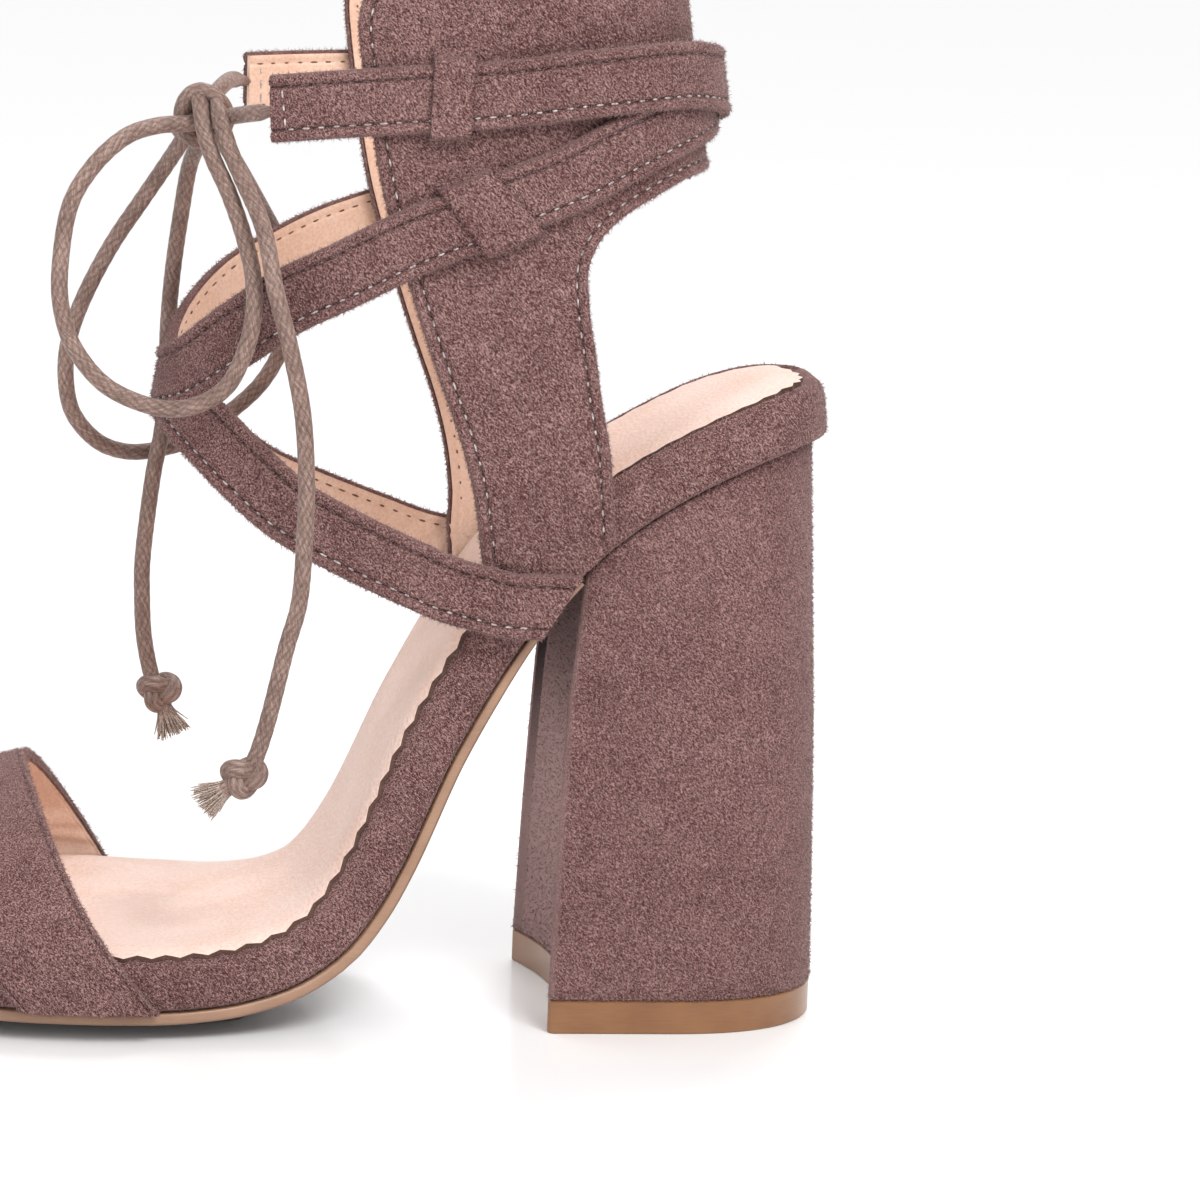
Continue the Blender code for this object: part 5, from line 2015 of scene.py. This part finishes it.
    def bow_knot(self) -> Shape:
        """Tie the bow's knot: the bar's hitch, a turn round the throat and the crossing strands.

        Returns:
            The knot.
        """
        c = np.array(self.knot_centre)
        turns = (
            (c + (0.1, -5.2, 0.8), (0.15, 0.87, 0.48), (1, 0, 0), 4.0, 5.2, 0.6),
            (c + (0.9, -2.3, 1.3), (0.5, 0.9, 0.45), (0, 0, 1), 3.2, 2.2, 0.3),
            (c + (-0.4, 0.6, -2.2), (0.3, 0.35, 1.0), (1, 0, 0), 3.8, 3.9, 0.6),
            (c + (0.6, 1.8, 0.6), (1.0, 0.3, 0.2), (0, 0, 1), 4.2, 2.6, 0.4))
        return joined(*(self.wrap(*turn) for turn in turns))

    def tail_knot(self, route: CordRoute) -> Shape:
        """Tie the overhand knot in a tail, with the short end that leaves it.

        Args:
            route: The cord's route.

        Returns:
            The knot.
        """
        t = np.linspace(0.0, 2 * np.pi, self.knot_points, endpoint=False)
        flat = np.stack([np.sin(t) + 1.9 * np.sin(2 * t), -1.45 * np.sin(3 * t), np.cos(t) - 1.9 * np.cos(2 * t)], 1)
        knot = self.sweep(np.array(route.tail[-1]) + flat * self.knot_size, True, self.knot_thick)
        stub = spaced(smooth_path((route.tail[-1],) + route.tip[:2]), self.step)
        return joined(knot, self.sweep(stub, False, np.linspace(0.9, 1.1, len(stub))))

    def frayed_tip(self, route: CordRoute) -> Shape:
        """Fan loose fibres out of a cut end.

        Args:
            route: The cord's route.

        Returns:
            The fibres.
        """
        dice = np.random.default_rng(self.seed)
        start, end = np.array(route.tip[0]), np.array(route.tip[-1])
        ahead = unit(end - start)
        side = unit(np.cross(ahead, (0.0, 1.0, 0.0)))
        up = np.cross(ahead, side)
        steps = np.linspace(0.0, 1.0, 7)[:, None]
        inside, outside = self.fray
        loose = []
        for _ in range(self.fibres):
            angle, spread = dice.uniform(0, 2 * np.pi), math.sqrt(dice.uniform(0, 1))
            out = side * math.cos(angle) + up * math.sin(angle)
            long = dice.uniform(0.7, 1.05) * np.linalg.norm(end - start)
            curl = unit(dice.normal(size=3)) * dice.uniform(0.1, 0.5)
            path = start + out * spread * inside + ahead * long * steps + out * spread * outside * steps ** 1.4
            loose.append(self.fibre(path + curl * np.sin(steps * 2.6) * steps))
        return joined(*loose)

    def fibre(self, path: Array) -> Shape:
        """Shape one tapering fibre.

        Args:
            path: Its centre line.

        Returns:
            The fibre.
        """
        _, side, up = self.frames(path, False)
        thick = self.fibre_radius * np.linspace(1.0, 0.4, len(path))
        ring = round_about(side, up, np.radians((0, 90, 180, 270)))
        return loft(path[:, None] + ring * thick[:, None, None])

    def build(self) -> None:
        """Make both cords with their knots and ends."""
        knot = self.shop.piece("tied_bow_knot", self.bow_knot(), WAXED_CORD, ["bow_knot"], self.crisp)
        for side, route, first in (("lateral", self.lateral, [knot]), ("medial", self.medial, [])):
            end = self.shop.piece(side + "_overhand_knot", self.tail_knot(route), WAXED_CORD,
                                  [side + "_tail_knot"], self.crisp)
            tip = self.shop.piece(side + "_frayed_end", self.frayed_tip(route), FRAYED_FIBRE,
                                  [side + "_frayed_tip"], self.crisp)
            self.declare(side + "_bow_cord", route.bow, [side + "_cord_bar", side + "_bow_loop"])
            self.declare(side + "_tail_cord", route.tail, [side + "_cord_tail"])

    def declare(self, name: str, route: Route, solids: list[str]) -> None:
        """Make one stretch of cord.

        Args:
            name: The piece's name.
            route: The points that it passes.
            solids: The solids that it stands for.
        """
        path = spaced(smooth_path(route), self.step)
        start, per_mm = self.pressed
        taper = np.clip(start + per_mm * run_length(path), start, 1.0)
        cord = self.shop.piece(name, self.sweep(path, False, taper), WAXED_CORD, solids, self.crisp)
        line = self.shop.metres(path)


# Stage

@dataclass(frozen=True)
class Lamp:
    """A studio light: its power, its side in metres or spread in radians, its place and what it faces."""

    name: str
    kind: LampKind
    power: float
    size: float
    place: Sequence[float]
    target: Sequence[float] = (0.0, 0.0, 0.08)

    def hang(self) -> bpy.types.Object:
        """Hang the light in the scene.

        Returns:
            The light.
        """
        data = bpy.data.lights.new(self.name, self.kind.value)
        data.energy = self.power
        if self.kind is LampKind.GLOW:
            data.angle = self.size
        else:
            data.shape, data.size = "SQUARE", self.size
        lamp = put(self.name, data)
        lamp.location = self.place
        lamp.rotation_euler = (Vector(self.target) - Vector(self.place)).to_track_quat("-Z", "Y").to_euler()
        return lamp


@dataclass
class Studio:
    """Pale floor, soft white light and the camera at the photograph's angle."""

    shop: Workshop
    camera_at: Triple = (-178.48, -960.73, 247.0)
    yaw: float = 8.107
    pitch: float = 10.128
    roll: float = 2.3
    focal_px: float = 5450.0
    frame_px: float = 1200.0
    sensor: float = 36.0
    floor_reach: float = 14.0
    sky: float = 0.82
    card: float = 0.0095
    card_at: Triple = (-71.5, 0.0, 35.5)
    card_faces: Triple = (-37.0, 0.0, 16.0)
    lamps: tuple[Lamp, ...] = (
        Lamp("key_lamp", LampKind.SOFT_BOX, 17.0, 0.6, (0.45, -1.05, 1.2)),
        Lamp("left_lamp", LampKind.SOFT_BOX, 3.0, 0.6, (-1.1, -0.9, 0.6)),
        Lamp("back_glow", LampKind.GLOW, 1.0, math.radians(18.0), (0.1, 0.5, 1.0), (0.0, 0.0, 0.0)))

    def camera(self) -> None:
        """Set the camera where the photograph was taken from."""
        yaw, pitch, roll = (math.radians(a) for a in (self.yaw, self.pitch, self.roll))
        turns = ((-yaw, "Z"), (math.pi / 2 - pitch, "X"), (roll, "Z"))
        yawed, tilted, rolled = (Matrix.Rotation(angle, 4, axis) for angle, axis in turns)
        data = bpy.data.cameras.new("photo_camera")
        data.sensor_width = self.sensor
        data.lens = self.focal_px / self.frame_px * self.sensor
        data.clip_start, data.clip_end = 0.01, 50.0
        camera = put("photo_camera", data)
        place = Matrix.Translation(self.shop.metres(self.camera_at).tolist())
        camera.matrix_world = place @ yawed @ tilted @ rolled
        bpy.context.scene.camera = camera

    def floor(self) -> None:
        """Lay a wide white floor with a faint gloss."""
        mesh = bpy.data.meshes.new("studio_floor")
        corners = [(x * self.floor_reach, y * self.floor_reach, 0) for x, y in ((-1, -1), (1, -1), (1, 1), (-1, 1))]
        mesh.from_pydata(corners, [], [(0, 1, 2, 3)])
        shader = Shader("white_floor")
        shader.colour((0.93, 0.93, 0.93, 1.0))
        shader.shine(roughness=0.16, specular_ior_level=0.22, emission_color=(1.0, 1.0, 1.0), emission_strength=0.02)
        mesh.materials.append(shader.material)
        put("studio_floor", mesh)

    def light(self) -> None:
        """Light the shoe from all round, with soft lamps in front of it and a small card under its arch."""
        world = bpy.data.worlds.new("white_room")
        world.use_nodes = True
        sky = world.node_tree.nodes["Background"]
        sky.inputs["Color"].default_value = (1.0, 1.0, 1.0, 1.0)
        sky.inputs["Strength"].default_value = self.sky
        bpy.context.scene.world = world
        for lamp in self.lamps:
            lamp.hang()
        place, target = (self.shop.metres(spot) for spot in (self.card_at, self.card_faces))
        card = Lamp("arch_card", LampKind.SOFT_BOX, self.card, 0.04, place, target).hang()
        card.visible_camera = False
        bpy.context.scene.view_settings.view_transform = "Standard"

    def build(self) -> None:
        """Set up the whole stage."""
        self.floor()
        self.light()
        self.camera()


def main() -> None:
    """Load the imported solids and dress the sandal."""
    logging.basicConfig(level=logging.INFO, format="%(name)s: %(message)s")
    for obj in list(bpy.data.objects):
        bpy.data.objects.remove(obj, do_unlink=True)
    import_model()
    shop = Workshop.at_lift(Sole.lift_height + GAP)
    stitcher, brush = Stitcher(shop), NapBrush(shop)
    profile, form = EdgeProfile(), AnkleForm()
    sole = Sole(brush)
    Studio(shop).build()
    TiedCord(shop).build()
    sole.build()
    AnkleCuff(stitcher, brush, form, profile).build()
    CrossStraps(stitcher, brush, form, profile).build()
    close_seam = EdgeProfile(rounding=0.6, bead=0.1, bead_at=0.55, seam_at=1.2, seam_depth=0.32, seam_width=0.24,
                             seam_shade=0.4)
    ToeBand(stitcher, brush, sole, close_seam).build()


if __name__ == "__main__":
    main()
